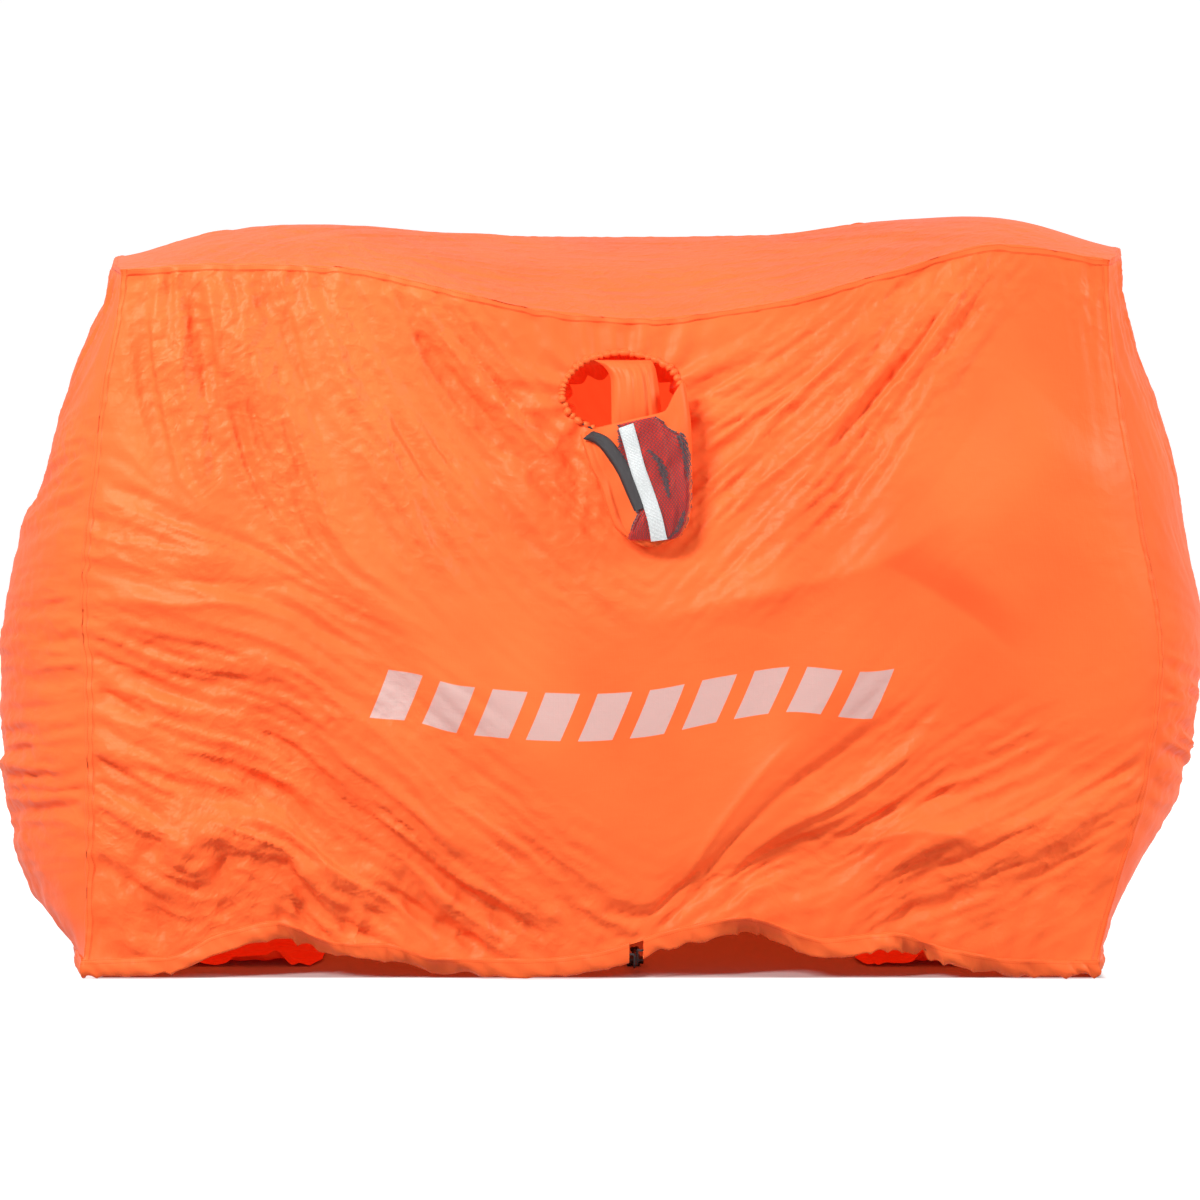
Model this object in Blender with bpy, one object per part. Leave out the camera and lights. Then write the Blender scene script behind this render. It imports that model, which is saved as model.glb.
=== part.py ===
"""Bothy bag for two, in its pitched shape.

Metres, +Z up, the front wall towards -Y. The origin is on the ground in the middle of the shelter.
The walls and the roof are one continuous skin, worked out by formula and cut into its sewn panels.
"""
import math

import bpy
import bmesh
from mathutils import Matrix, Vector

# Cloth and sewing. The cloth is drawn thicker than the real 0.1 mm, as a sheet that can be made.
CLOTH = 0.0015
GAP = 0.0003
SEAM_LEG = 0.007
SEAM_TAPE = 0.0010
SEAM_CLEAR = 0.0005
SEAM_BAND = SEAM_LEG + 0.0005
EDGE_PULL = CLOTH * 1.4 + 2 * GAP
STRIP_START = 0.1

# The pitched shelter.
HEM_REACH = 0.570
HEM_DEPTH = 0.500
SEAM_HEIGHT = 0.790
ROOF_DOME = 0.025
WALL_BELLY = 0.014
BULGE_POWER = 2.2

# The casing along the hem, and the drawcord in it.
CASING_HEIGHT = 0.021
CASING_DEPTH = 0.0060
CASING_WALL = 0.0010
CORD = 0.0024
CORD_GAP_X = 0.040
CORD_GAP = 0.016

# The two vents, each a gathered casing with an elastic ring and a short inner sleeve. They hang
# as ovals, lower than wide by the squash.
VENT_X = 0.024
VENT_DROP = 0.104
REAR_VENT_X = -0.160
REAR_VENT_DROP = 0.200
VENT_RADIUS = 0.0725
VENT_SQUASH = 0.68
VENT_CUT = 0.080
RIM_RADIUS = 0.0055
RIM_WALL = 0.0011
RIM_CLEAR = 0.0010
RIM_SLIT = 72
ELASTIC = 0.0030
SLEEVE_LENGTH = 0.045
SLEEVE_TAPER = 0.006

# The stuff sack that hangs at the front vent.
SACK_MOUTH_WIDTH = 0.150
SACK_TIP_WIDTH = 0.056
SACK_LENGTH = 0.168
SACK_MOUTH_DEPTH = 0.036
SACK_TIP_DEPTH = 0.020
SACK_LEAN = 0.030
SACK_MOUTH_DROP = 0.052
NECK_WIDTH = 0.080
NECK_SHIFT = 0.012
NECK_ARCH = 0.006
MESH_SHEET = 0.0006
TAPE_SHEET = 0.0012
LABEL_SHEET = 0.0008

# The seats that lie on the ground at both ends.
SEAT_LENGTH = 0.260
SEAT_WIDTH = 0.340
SEAT_SHEET = 0.0030
SEAT_TAB = 0.010
SEAT_CORNER = 0.030

# The cord lock on the drawcord.
LOCK_Y = -0.165
TAIL_END = 0.058
BARREL_RADIUS = 0.0066
BARREL_WALL = 0.0020
BARREL_END = 0.0012
BARREL_LIP = 0.0008
BARREL_BEVEL = 0.0008
PRESS_TRAVEL = 0.0030
PLUNGER_CLEAR = 0.0002
PLUNGER_END = 0.0010
PLUNGER_PROUD = 0.0040
PLUNGER_BEVEL = 0.0006
SPRING_REST = 0.0054
SPRING_WIRE = 0.0005
SPRING_TURNS = 4
SPRING_CLEAR = 0.0004
CORD_PITCH = 0.0030
CORD_CLEAR = 0.0003
KNOT_RADIUS = 0.0058

# How many faces each sheet has.
FRONT_COLUMNS = 28
END_COLUMNS = 8
WALL_ROWS = 15
RING_STEPS = 24
SACK_STEPS = 16
SACK_ROWS = 7

# Profiles of the skin: pairs of a fraction and an offset in metres.
# From hem (0) to roof seam (1), how far a corner seam stands out from HEM_REACH.
LEFT_CORNER = ((0, 0.003), (0.14, -0.001), (0.33, -0.003), (0.55, 0.005), (0.8, -0.010), (1, -0.040))
RIGHT_CORNER = (
    (0, -0.017), (0.11, 0.012), (0.26, 0.045), (0.43, 0.062), (0.63, 0.038), (0.79, 0.016), (1, -0.006),
)
# How far the front and rear corner seams stand in from half of HEM_DEPTH.
DEPTH_IN = ((0, 0), (0.5, 0.015), (1, 0.050))
# How far each end wall bulges out of the line between its corner seams.
LEFT_BULGE = (
    (0, 0.035), (0.07, 0.082), (0.15, 0.107), (0.38, 0.124), (0.6, 0.107), (0.82, 0.07), (1, 0.028),
)
RIGHT_BULGE = ((0, 0.026), (0.1, 0.05), (0.22, 0.078), (0.48, 0.073), (0.75, 0.055), (1, 0.035))
# Height of the roof seams over SEAM_HEIGHT, from the left end (0) to the right end (1).
FRONT_SEAM = (
    (0, -0.005), (0.1, 0.002), (0.22, -0.002), (0.33, -0.026), (0.42, -0.048),
    (0.53, -0.058), (0.65, -0.043), (0.78, -0.007), (0.89, 0.023), (1, 0.006),
)
REAR_SEAM = (
    (0, 0.010), (0.1, 0.048), (0.2, 0.055), (0.35, 0.048), (0.5, 0.046),
    (0.67, 0.048), (0.8, 0.063), (0.9, 0.055), (1, 0.020),
)
END_SEAM_RISE = 0.014
# Height of the hem over the ground along the front and the rear.
FRONT_LIFT = (
    (0, 0), (0.08, 0.004), (0.136, 0.030), (0.189, 0.042), (0.25, 0.021), (0.30, 0.018),
    (0.349, 0.003), (0.45, 0.002), (0.509, 0.010), (0.589, 0.036), (0.65, 0.047),
    (0.731, 0.024), (0.793, 0.030), (0.855, 0.012), (0.926, 0), (1, 0),
)
REAR_LIFT = ((0, 0), (0.12, 0), (0.22, 0.018), (0.35, 0), (0.55, 0), (0.68, 0.022), (0.8, 0), (1, 0))

# Main folds of each wall: start and end as fractions along and up it, half width and height.
FOLDS = {
    "front": (
        (0.05, 0.97, 0.13, 0.50, 0.030, 0.010),
        (0.09, 0.98, 0.38, 0.30, 0.040, 0.012),
        (0.19, 0.97, 0.50, 0.10, 0.042, 0.010),
        (0.30, 0.93, 0.50, 0.50, 0.040, -0.008),
        (0.02, 0.62, 0.40, 0.12, 0.055, 0.014),
        (0.76, 0.95, 0.62, 0.48, 0.038, 0.010),
        (0.84, 0.97, 0.62, 0.12, 0.045, 0.011),
        (0.95, 0.75, 0.80, 0.50, 0.080, 0.020),
        (0.05, 0.19, 0.30, 0.08, 0.034, 0.014),
        (0.95, 0.21, 0.76, 0.12, 0.036, 0.016),
        (0.55, 0.04, 0.78, 0.15, 0.034, -0.012),
    ),
    "rear": (
        (0.10, 0.97, 0.42, 0.15, 0.045, 0.012),
        (0.22, 0.97, 0.55, 0.25, 0.045, -0.009),
        (0.88, 0.97, 0.60, 0.12, 0.045, 0.012),
        (0.78, 0.96, 0.66, 0.45, 0.040, 0.009),
        (0.06, 0.30, 0.36, 0.10, 0.040, 0.013),
        (0.94, 0.24, 0.70, 0.10, 0.040, 0.013),
    ),
    "left": (
        (0.15, 0.66, 0.85, 0.58, 0.034, 0.008),
        (0.10, 0.46, 0.80, 0.38, 0.032, 0.009),
        (0.20, 0.26, 0.90, 0.20, 0.030, 0.010),
        (0.35, 0.95, 0.60, 0.70, 0.036, 0.007),
    ),
    "right": (
        (0.30, 0.96, 0.70, 0.45, 0.036, 0.008),
        (0.15, 0.30, 0.85, 0.22, 0.032, 0.010),
        (0.20, 0.62, 0.75, 0.36, 0.034, -0.007),
    ),
    "roof": (
        (0.16, 0.10, 0.40, 0.90, 0.040, 0.007),
        (0.84, 0.10, 0.58, 0.85, 0.040, 0.008),
        (0.30, 0.15, 0.62, 0.30, 0.034, -0.006),
    ),
}
FOLD_FADE = 0.050
CALM_HALF_WIDTH = 0.105
CALM_HALF_HEIGHT = 0.150
CALM_DROP = 0.070

ORANGE = (1.0, 0.150, 0.038, 1)
SEAM_ORANGE = (0.92, 0.115, 0.030, 1)
DEEP_ORANGE = (0.70, 0.055, 0.018, 1)
RED = (0.42, 0.025, 0.020, 1)
BLACK = (0.012, 0.012, 0.014, 1)
SILVER = (0.72, 0.74, 0.76, 1)
STEEL = (0.55, 0.56, 0.58, 1)


def clear_scene():
    for old in list(bpy.data.objects):
        bpy.data.objects.remove(old, do_unlink=True)


def make_material(name, colour, roughness, metallic=0.0):
    material = bpy.data.materials.new(name)
    material.use_nodes = True
    shader = material.node_tree.nodes["Principled BSDF"]
    shader.inputs["Base Color"].default_value = colour
    shader.inputs["Roughness"].default_value = roughness
    shader.inputs["Metallic"].default_value = metallic
    return material


def make_pivot(name, place):
    """An empty on a joint's axis, which the moving pieces hang on."""
    pivot = bpy.data.objects.new(name, None)
    pivot.location = place
    pivot.empty_display_size = 0.02
    bpy.context.collection.objects.link(pivot)
    return pivot


def add_object(name, points, faces, material, pivot=None, smooth=False, close=True):
    """One named object from points and faces, hung on its pivot if it moves."""
    origin = pivot.location if pivot else Vector((0, 0, 0))
    mesh = bpy.data.meshes.new(name)
    mesh.from_pydata([tuple(Vector(p) - origin) for p in points], [], faces)
    if close:
        shape = bmesh.new()
        shape.from_mesh(mesh)
        bmesh.ops.recalc_face_normals(shape, faces=shape.faces)
        shape.to_mesh(mesh)
        shape.free()
    if smooth:
        mesh.shade_smooth()
        mesh.set_sharp_from_angle(angle=math.radians(40))
    mesh.materials.append(make_material(name, *material))
    item = bpy.data.objects.new(name, mesh)
    bpy.context.collection.objects.link(item)
    if pivot:
        item.parent = pivot
    return item


def cut_away(item, cutter):
    """Cuts one object with another, which stays as a guide."""
    cutter.hide_render = True
    cutter.display_type = "WIRE"
    cut = item.modifiers.new("cut by " + cutter.name, "BOOLEAN")
    cut.operation = "DIFFERENCE"
    cut.solver = "EXACT"
    cut.object = cutter


# Skin formula

def follow(knots, t):
    """A smooth curve through pairs of a fraction and a value, which doesn't overshoot them."""
    t = min(max(t, knots[0][0]), knots[-1][0])
    rises = [(b[1] - a[1]) / (b[0] - a[0]) for a, b in zip(knots, knots[1:])]
    slopes = [rises[0]]
    for before, after in zip(rises, rises[1:]):
        same_way = before * after > 0
        slopes.append(2 * before * after / (before + after) if same_way else 0.0)
    slopes.append(rises[-1])
    for (x0, y0), (x1, y1), m0, m1 in zip(knots, knots[1:], slopes, slopes[1:]):
        if t <= x1:
            step = x1 - x0
            h = (t - x0) / step
            return (
                y0 * (1 + 2 * h) * (1 - h) ** 2 + m0 * step * h * (1 - h) ** 2
                + y1 * h * h * (3 - 2 * h) + m1 * step * h * h * (h - 1)
            )
    return knots[-1][1]


def ease(x):
    """From 0 to 1 with level ends."""
    x = min(max(x, 0.0), 1.0)
    return x * x * (3 - 2 * x)


WALL_HEIGHT = SEAM_HEIGHT - CASING_HEIGHT - GAP
ROOF_DEPTH = HEM_DEPTH - 2 * DEPTH_IN[-1][1]
SPAN = {
    "front": 2 * HEM_REACH, "rear": 2 * HEM_REACH,
    "left": ROOF_DEPTH, "right": ROOF_DEPTH, "roof": 2 * HEM_REACH,
}


def corner(side, face, v):
    """Plan position of a corner seam: side -1 left or 1 right, face -1 front or 1 rear."""
    reach = HEM_REACH + follow(LEFT_CORNER if side < 0 else RIGHT_CORNER, v)
    return Vector((side * reach, face * (HEM_DEPTH / 2 - follow(DEPTH_IN, v))))


def seam_height(wall, s):
    """Height of the roof seam over a wall."""
    if wall == "front":
        return SEAM_HEIGHT + follow(FRONT_SEAM, s)
    if wall == "rear":
        return SEAM_HEIGHT + follow(REAR_SEAM, s)
    end = 0 if wall == "left" else -1
    rise = FRONT_SEAM[end][1] * (1 - s) + REAR_SEAM[end][1] * s
    return SEAM_HEIGHT + rise + END_SEAM_RISE * 4 * s * (1 - s)


def hem_lift(wall, s):
    if wall == "front":
        return max(0.0, follow(FRONT_LIFT, s))
    if wall == "rear":
        return max(0.0, follow(REAR_LIFT, s))
    return 0.0


def bare_wall(wall, s, v):
    """A wall's outer surface without its folds, and its outward way in plan."""
    if wall in ("front", "rear"):
        face = -1 if wall == "front" else 1
        left = corner(-1, face, v)
        right = corner(1, face, v)
        plan = left.lerp(right, s)
        plan.y += face * WALL_BELLY * math.sin(math.pi * s) * math.sin(math.pi * min(1, v * 1.1 + 0.15))
        out = Vector((0, face, 0))
    else:
        side = -1 if wall == "left" else 1
        plan = corner(side, -1, v).lerp(corner(side, 1, v), s)
        bulge = follow(LEFT_BULGE if side < 0 else RIGHT_BULGE, v)
        plan.x += side * bulge * (1 - abs(2 * s - 1) ** BULGE_POWER)
        out = Vector((side, 0, 0))
    low = hem_lift(wall, s) + CASING_HEIGHT + GAP
    height = low + (seam_height(wall, s) - low) * v
    return Vector((plan.x, plan.y, height)), out


def fold_height(wall, s, v):
    """How far the main folds lift the cloth at a point of a wall."""
    wide = SPAN[wall]
    tall = ROOF_DEPTH if wall == "roof" else WALL_HEIGHT
    total = 0.0
    for s0, v0, s1, v1, half_width, height in FOLDS[wall]:
        start = Vector((s0 * wide, v0 * tall))
        run = Vector((s1 * wide, v1 * tall)) - start
        here = Vector((s * wide, v * tall)) - start
        t = min(max(here.dot(run) / run.length_squared, 0.0), 1.0)
        away = (here - run * t).length
        total += height * math.exp(-((away / half_width) ** 2)) * ease(4 * min(t, 1 - t) + 0.3)
    edges = ease(min(s, 1 - s) * wide / FOLD_FADE) * ease((1 - v) * tall / FOLD_FADE)
    if wall == "roof":
        edges *= ease(v * tall / FOLD_FADE)
    return total * edges


def calm(wall, point):
    """0 where a vent needs flat cloth, 1 away from it."""
    if wall not in VENT_PLACES:
        return 1.0
    x, z = VENT_PLACES[wall]
    across = (point.x - x) / CALM_HALF_WIDTH
    along = (point.z - z + CALM_DROP) / CALM_HALF_HEIGHT
    return ease((math.hypot(across, along) - 0.9) / 0.6)


def wall_point(wall, s, v):
    point, out = bare_wall(wall, s, v)
    return point + out * fold_height(wall, s, v) * calm(wall, point)


def roof_point(s, t):
    """The roof between its four seams, from front (0) to rear (1), with its dome and folds."""
    front = bare_wall("front", s, 1)[0]
    rear = bare_wall("rear", s, 1)[0]
    left = bare_wall("left", t, 1)[0]
    right = bare_wall("right", t, 1)[0]
    low = bare_wall("front", 0, 1)[0].lerp(bare_wall("front", 1, 1)[0], s)
    high = bare_wall("rear", 0, 1)[0].lerp(bare_wall("rear", 1, 1)[0], s)
    point = front.lerp(rear, t) + left.lerp(right, s) - low.lerp(high, t)
    peaks = 0.45 + 0.55 * abs(math.cos(math.pi * s)) ** 1.5
    point.z += ROOF_DOME * peaks * 4 * t * (1 - t) * ease(6 * min(s, 1 - s))
    point.z += fold_height("roof", s, t)
    return point


def locate(wall, x, drop):
    """Fractions along and up a wall of the point at x, drop metres under the roof seam."""
    s, v = 0.5, 0.8
    for _ in range(12):
        low = hem_lift(wall, s) + CASING_HEIGHT + GAP
        top = seam_height(wall, s)
        v = (top - drop - low) / (top - low)
        ends = bare_wall(wall, 0, v)[0].x, bare_wall(wall, 1, v)[0].x
        s = (x - ends[0]) / (ends[1] - ends[0])
    return s, v


VENT_PLACES = {}
for vent_wall, vent_x, vent_drop in (("front", VENT_X, VENT_DROP), ("rear", REAR_VENT_X, REAR_VENT_DROP)):
    vent_at = bare_wall(vent_wall, *locate(vent_wall, vent_x, vent_drop))[0]
    VENT_PLACES[vent_wall] = (vent_at.x, vent_at.z)
VENT_RING = VENT_RADIUS - RIM_RADIUS - RIM_CLEAR


def surface(part, s, v):
    return roof_point(s, v) if part == "roof" else wall_point(part, s, v)


def even_steps(band, steps):
    """Fractions from one seam band to the other, with the two seams themselves at the ends."""
    return [0.0] + [band + (1 - 2 * band) * i / steps for i in range(steps + 1)] + [1.0]


def columns(part):
    """Fractions along a panel: the seams, the far sides of their bands, and even steps between."""
    count = FRONT_COLUMNS if part in ("front", "rear", "roof") else END_COLUMNS
    return even_steps(SEAM_BAND / SPAN[part], count - 2)


def rows(part):
    """Fractions up a wall, or across the roof."""
    if part == "roof":
        return even_steps(SEAM_BAND / ROOF_DEPTH, END_COLUMNS - 2)
    band = SEAM_BAND / WALL_HEIGHT
    return [(1 - band) * i / WALL_ROWS for i in range(WALL_ROWS + 1)] + [1.0]


# Panels

def grid_faces(wide, tall, flip, seams=""):
    """Faces of a grid; along the named seams each is split from its outer to its inner side."""
    faces = []
    for j in range(tall - 1):
        for i in range(wide - 1):
            a = j * wide + i
            b, c, d = a + 1, a + wide + 1, a + wide
            rising = ("l" in seams and i == 0) or ("b" in seams and j == 0)
            falling = ("r" in seams and i == wide - 2) or ("t" in seams and j == tall - 2)
            if rising:
                cell = [(a, b, c), (a, c, d)]
            elif falling:
                cell = [(a, b, d), (b, c, d)]
            else:
                cell = [(a, b, c, d)]
            faces += [face[::-1] if flip else face for face in cell]
    return faces


def into_panel(part, s_edge, v_edge):
    """Way from a point of a seam straight into one of its panels."""
    if s_edge in (0.0, 1.0) and (part == "roof" or v_edge < 1):
        step = SEAM_BAND / SPAN[part]
        inner = (step if s_edge == 0.0 else 1 - step, v_edge)
    else:
        step = SEAM_BAND / (ROOF_DEPTH if part == "roof" else WALL_HEIGHT)
        inner = (s_edge, step if v_edge == 0.0 else 1 - step)
    return (surface(part, *inner) - surface(part, s_edge, v_edge)).normalized()


def make_panel(name, part, flip):
    """One sewn panel: its outer surface, thickened inwards.

    Beside each seam it has a flat band, and its own edge stays back so that its neighbour has room.
    """
    across = columns(part)
    up = rows(part)
    table = [[surface(part, s, v) for s in across] for v in up]
    last_row = len(up) - 1
    for j, v in enumerate(up):
        if j == last_row or (part == "roof" and j == 0):
            continue
        for end, inner in ((0, 1), (-1, -2)):
            seam = table[j][end]
            way = into_panel(part, across[end], v)
            table[j][inner] = seam + way * SEAM_BAND
            table[j][end] = seam + way * EDGE_PULL
    for end, inner in ((0, 1), (-1, -2)):
        if end == 0 and part != "roof":
            continue
        for i, s in enumerate(across[1:-1], start=1):
            seam = table[end][i]
            way = into_panel(part, s, up[end])
            if 1 < i < len(across) - 2:
                table[inner][i] = seam + way * SEAM_BAND
            table[end][i] = seam + (table[inner][i] - seam).normalized() * EDGE_PULL
        for i, beside in ((0, 1), (-1, -2)):
            shift = table[inner][i] - table[inner][beside]
            table[end][i] = table[end][beside] + shift
    points = [point for row in table for point in row]
    faces = grid_faces(len(across), len(up), flip, "lrtb" if part == "roof" else "lrt")
    panel = add_object(name, points, faces, (ORANGE, 0.55), smooth=True, close=False)
    thick = panel.modifiers.new("cloth thickness", "SOLIDIFY")
    thick.thickness = CLOTH
    thick.offset = -1
    return panel


# Seam strips

def leg_line(part, places):
    """Along a seam: the seam point, the point one leg into the panel and the outward normal."""
    lines = []
    for s_edge, v_edge in places:
        edge = surface(part, s_edge, v_edge)
        way = into_panel(part, s_edge, v_edge)
        lines.append((edge, edge + way * SEAM_LEG, way))
    middle = Vector((0, 0, SEAM_HEIGHT / 2))
    legs = []
    for i, (edge, leg, way) in enumerate(lines):
        before = lines[max(i - 1, 0)]
        after = lines[min(i + 1, len(lines) - 1)]
        normal = way.cross(after[0] + after[1] - before[0] - before[1]).normalized()
        if normal.dot(edge - middle) < 0:
            normal.negate()
        legs.append((edge, leg, normal))
    return legs


def make_strip(name, legs_a, legs_b):
    """A folded strip over a seam, with one leg on each of its two panels."""
    points = []
    for (edge, leg_a, normal_a), (_, leg_b, normal_b) in zip(legs_a, legs_b):
        middle = (normal_a + normal_b).normalized()
        for height in (SEAM_CLEAR, SEAM_CLEAR + SEAM_TAPE):
            points.append(leg_a + normal_a * height)
            points.append(edge + middle * (height / middle.dot(normal_a)))
            points.append(leg_b + normal_b * height)
    faces = []
    for here in range(0, 6 * (len(legs_a) - 1), 6):
        ahead = here + 6
        for outer, inner in ((1, 0), (1, 2), (4, 3), (4, 5)):
            faces.append((here + outer, here + inner, ahead + inner))
            faces.append((here + outer, ahead + inner, ahead + outer))
        for low, high in ((0, 3), (2, 5)):
            faces.append((here + low, here + high, ahead + high, ahead + low))
    last = 6 * (len(legs_a) - 1)
    for start in (0, last):
        faces.append((start, start + 1, start + 4, start + 3))
        faces.append((start + 1, start + 2, start + 5, start + 4))
    return add_object(name, points, faces, (SEAM_ORANGE, 0.6))


def corner_strip(name, face, end, face_at, end_at):
    """The strip down a corner seam, where a long wall and an end wall start (0) or stop (1)."""
    legs = []
    for part, at in ((face, face_at), (end, end_at)):
        line = leg_line(part, [(at, v) for v in rows(part)[:-1]])
        lowest = [a.lerp(b, STRIP_START) for a, b in zip(line[0], line[1])]
        legs.append([lowest] + line[1:])
    return make_strip(name, *legs)


def roof_strip(name, wall, roof_at):
    """The strip along the roof seam over a wall, where the roof starts (0) or stops (1)."""
    along = columns(wall)[1:-1]
    if wall in ("front", "rear"):
        places = [(s, roof_at) for s in along]
    else:
        places = [(roof_at, t) for t in along]
    return make_strip(name, leg_line(wall, [(s, 1.0) for s in along]), leg_line("roof", places))


# Hem

def hem_path():
    """Points of the hem on the skin's outer surface, from right of the cord gap round to left of it."""
    span = wall_point("front", 1, 0).x - wall_point("front", 0, 0).x
    start_x = wall_point("front", 0, 0).x
    gap_right = (CORD_GAP_X + CORD_GAP / 2 - start_x) / span
    gap_left = (CORD_GAP_X - CORD_GAP / 2 - start_x) / span
    long_way = columns("front")[1:-1]
    end_way = columns("left")[1:-1]
    near = 0.3 / FRONT_COLUMNS
    stops = [("front", gap_right)]
    stops += [("front", s) for s in long_way if s > gap_right + near] + [("front", 1.0)]
    stops += [("right", s) for s in end_way] + [("rear", 1.0)]
    stops += [("rear", s) for s in reversed(long_way)] + [("rear", 0.0)]
    stops += [("left", s) for s in reversed(end_way)] + [("front", 0.0)]
    stops += [("front", s) for s in long_way if s < gap_left - near] + [("front", gap_left)]
    path = []
    for wall, s in stops:
        point = wall_point(wall, s, 0)
        path.append(Vector((point.x, point.y, hem_lift(wall, s))))
    return path


def inward_ways(path):
    """At each point of the path, the way into the shelter, longer where the path turns."""
    ways = []
    for i, here in enumerate(path):
        before = path[max(i - 1, 0)]
        after = path[min(i + 1, len(path) - 1)]
        first = (here - before).to_2d() if i else (after - here).to_2d()
        second = (after - here).to_2d() if i < len(path) - 1 else first
        n1 = Vector((-first.y, first.x)).normalized()
        n2 = Vector((-second.y, second.x)).normalized()
        way = (n1 + n2).normalized()
        ways.append((way / max(way.dot(n1), 0.5)).to_3d())
    return ways


def make_casing(path, ways):
    """The folded casing: a flat tube along the hem, open at both ends beside the cord gap."""
    outer_in = CLOTH / 2 - CASING_DEPTH / 2
    inner_in = outer_in + CASING_WALL
    corners = (
        (outer_in, 0.0), (outer_in + CASING_DEPTH, 0.0),
        (outer_in + CASING_DEPTH, CASING_HEIGHT), (outer_in, CASING_HEIGHT),
        (inner_in, CASING_WALL), (inner_in + CASING_DEPTH - 2 * CASING_WALL, CASING_WALL),
        (inner_in + CASING_DEPTH - 2 * CASING_WALL, CASING_HEIGHT - CASING_WALL),
        (inner_in, CASING_HEIGHT - CASING_WALL),
    )
    points = []
    for here, way in zip(path, ways):
        points += [here + way * inwards + Vector((0, 0, up)) for inwards, up in corners]
    faces = []
    for i in range(len(path) - 1):
        for ring in ((0, 1, 2, 3), (4, 5, 6, 7)):
            for a, b in zip(ring, ring[1:] + ring[:1]):
                faces.append((8 * i + a, 8 * i + b, 8 * i + 8 + b, 8 * i + 8 + a))
    for start in (0, 8 * (len(path) - 1)):
        for a in range(4):
            b = (a + 1) % 4
            faces.append((start + a, start + b, start + 4 + b, start + 4 + a))
    return add_object("hem_casing", points, faces, (ORANGE, 0.55))


def make_tube(name, points, diameter, sides, material, pivot=None):
    """A round tube with flat ends along a list of points."""
    rings = []
    side = None
    for i, here in enumerate(points):
        before = points[max(i - 1, 0)]
        after = points[min(i + 1, len(points) - 1)]
        way = (after - before).normalized()
        if side is None:
            side = way.orthogonal().normalized()
        side = (side - way * side.dot(way)).normalized()
        other = way.cross(side)
        rings.append([
            here + (side * math.cos(a) + other * math.sin(a)) * diameter / 2
            for a in (2 * math.pi * (k + 0.5) / sides for k in range(sides))
        ])
    vertices = [p for ring in rings for p in ring]
    faces = []
    for i in range(len(rings) - 1):
        for k in range(sides):
            n = (k + 1) % sides
            faces.append((i * sides + k, i * sides + n, (i + 1) * sides + n, (i + 1) * sides + k))
    faces.append(tuple(range(sides)))
    faces.append(tuple((len(rings) - 1) * sides + k for k in range(sides)))
    return add_object(name, vertices, faces, material, pivot=pivot, smooth=True)


def tail_route(side, start, out_way, low):
    """Points that a free tail of the drawcord follows, from the end of the casing to the knot."""
    straight_y = LOCK_Y + TAIL_END
    hem_y = start.y
    height = start.z
    return [
        start + out_way * GAP,
        start + out_way * (GAP + CORD),
        Vector((CORD_GAP_X + side * 0.0026, hem_y + 0.0020, height - 0.0003)),
        Vector((CORD_GAP_X + side * 0.0017, hem_y + 0.0060, height - 0.0020)),
        Vector((CORD_GAP_X + side * 0.0016, hem_y + 0.0160, height * 0.62 + low * 0.38)),
        Vector((CORD_GAP_X + side * 0.0015, hem_y + 0.0290, height * 0.24 + low * 0.76)),
        Vector((CORD_GAP_X + side * 0.0014, LOCK_Y - 0.0390, low * 0.98)),
        Vector((CORD_GAP_X + side * 0.0009, LOCK_Y - 0.0330, low)),
        Vector((CORD_GAP_X, LOCK_Y - 0.0270, low)),
        Vector((CORD_GAP_X, LOCK_Y, low)),
        Vector((CORD_GAP_X, straight_y - 0.0200, low)),
        Vector((CORD_GAP_X, straight_y, low)),
    ]


def smooth_route(route, step):
    """Points a step apart on a smooth curve through the route's points."""
    fine = []
    for i in range(len(route) - 1):
        a = route[max(i - 1, 0)]
        b = route[i]
        c = route[i + 1]
        d = route[min(i + 2, len(route) - 1)]
        for k in range(12):
            t = k / 12
            fine.append(0.5 * (
                2 * b + (c - a) * t + (2 * a - 5 * b + 4 * c - d) * t * t + (3 * b - a - 3 * c + d) * t ** 3
            ))
    fine.append(route[-1])
    points = [fine[0], fine[0].lerp(route[1], 0.4)]
    for here in fine[1:-1]:
        if (here - points[-1]).length >= step and (here - fine[-1]).length >= step * 0.6:
            points.append(here)
    return points + [fine[-1]]


# Vents

def vent_frame(wall, x, drop):
    """Centre, across, up and outward ways of a vent on its wall."""
    s, v = locate(wall, x, drop)
    step = 0.02
    centre = wall_point(wall, s, v)
    along = wall_point(wall, s + step, v) - wall_point(wall, s - step, v)
    rise = wall_point(wall, s, v + step) - wall_point(wall, s, v - step)
    out = along.cross(rise).normalized()
    if wall == "rear":
        out.negate()
    up = (Vector((0, 0, 1)) - out * out.z).normalized()
    across = (Vector((1, 0, 0)) - out * out.x)
    across = (across - up * across.dot(up)).normalized()
    return centre, across, up, out


def oval_ring(name, frame, profile, material):
    """An oval ring whose closed section is a list of offsets away from its middle line and outward."""
    centre, across, up, out = frame
    points = []
    for i in range(RING_STEPS):
        angle = 2 * math.pi * i / RING_STEPS
        line = centre + across * VENT_RING * math.cos(angle)
        line += up * VENT_RING * (1 - VENT_SQUASH + VENT_SQUASH * math.sin(angle))
        way = (across * VENT_SQUASH * math.cos(angle) + up * math.sin(angle)).normalized()
        points += [line + way * away + out * offset for away, offset in profile]
    count = len(profile)
    faces = []
    for i in range(RING_STEPS):
        n = (i + 1) % RING_STEPS
        for a in range(count):
            b = (a + 1) % count
            faces.append((i * count + a, i * count + b, n * count + b, n * count + a))
    return add_object(name, points, faces, material, smooth=True)


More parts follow.
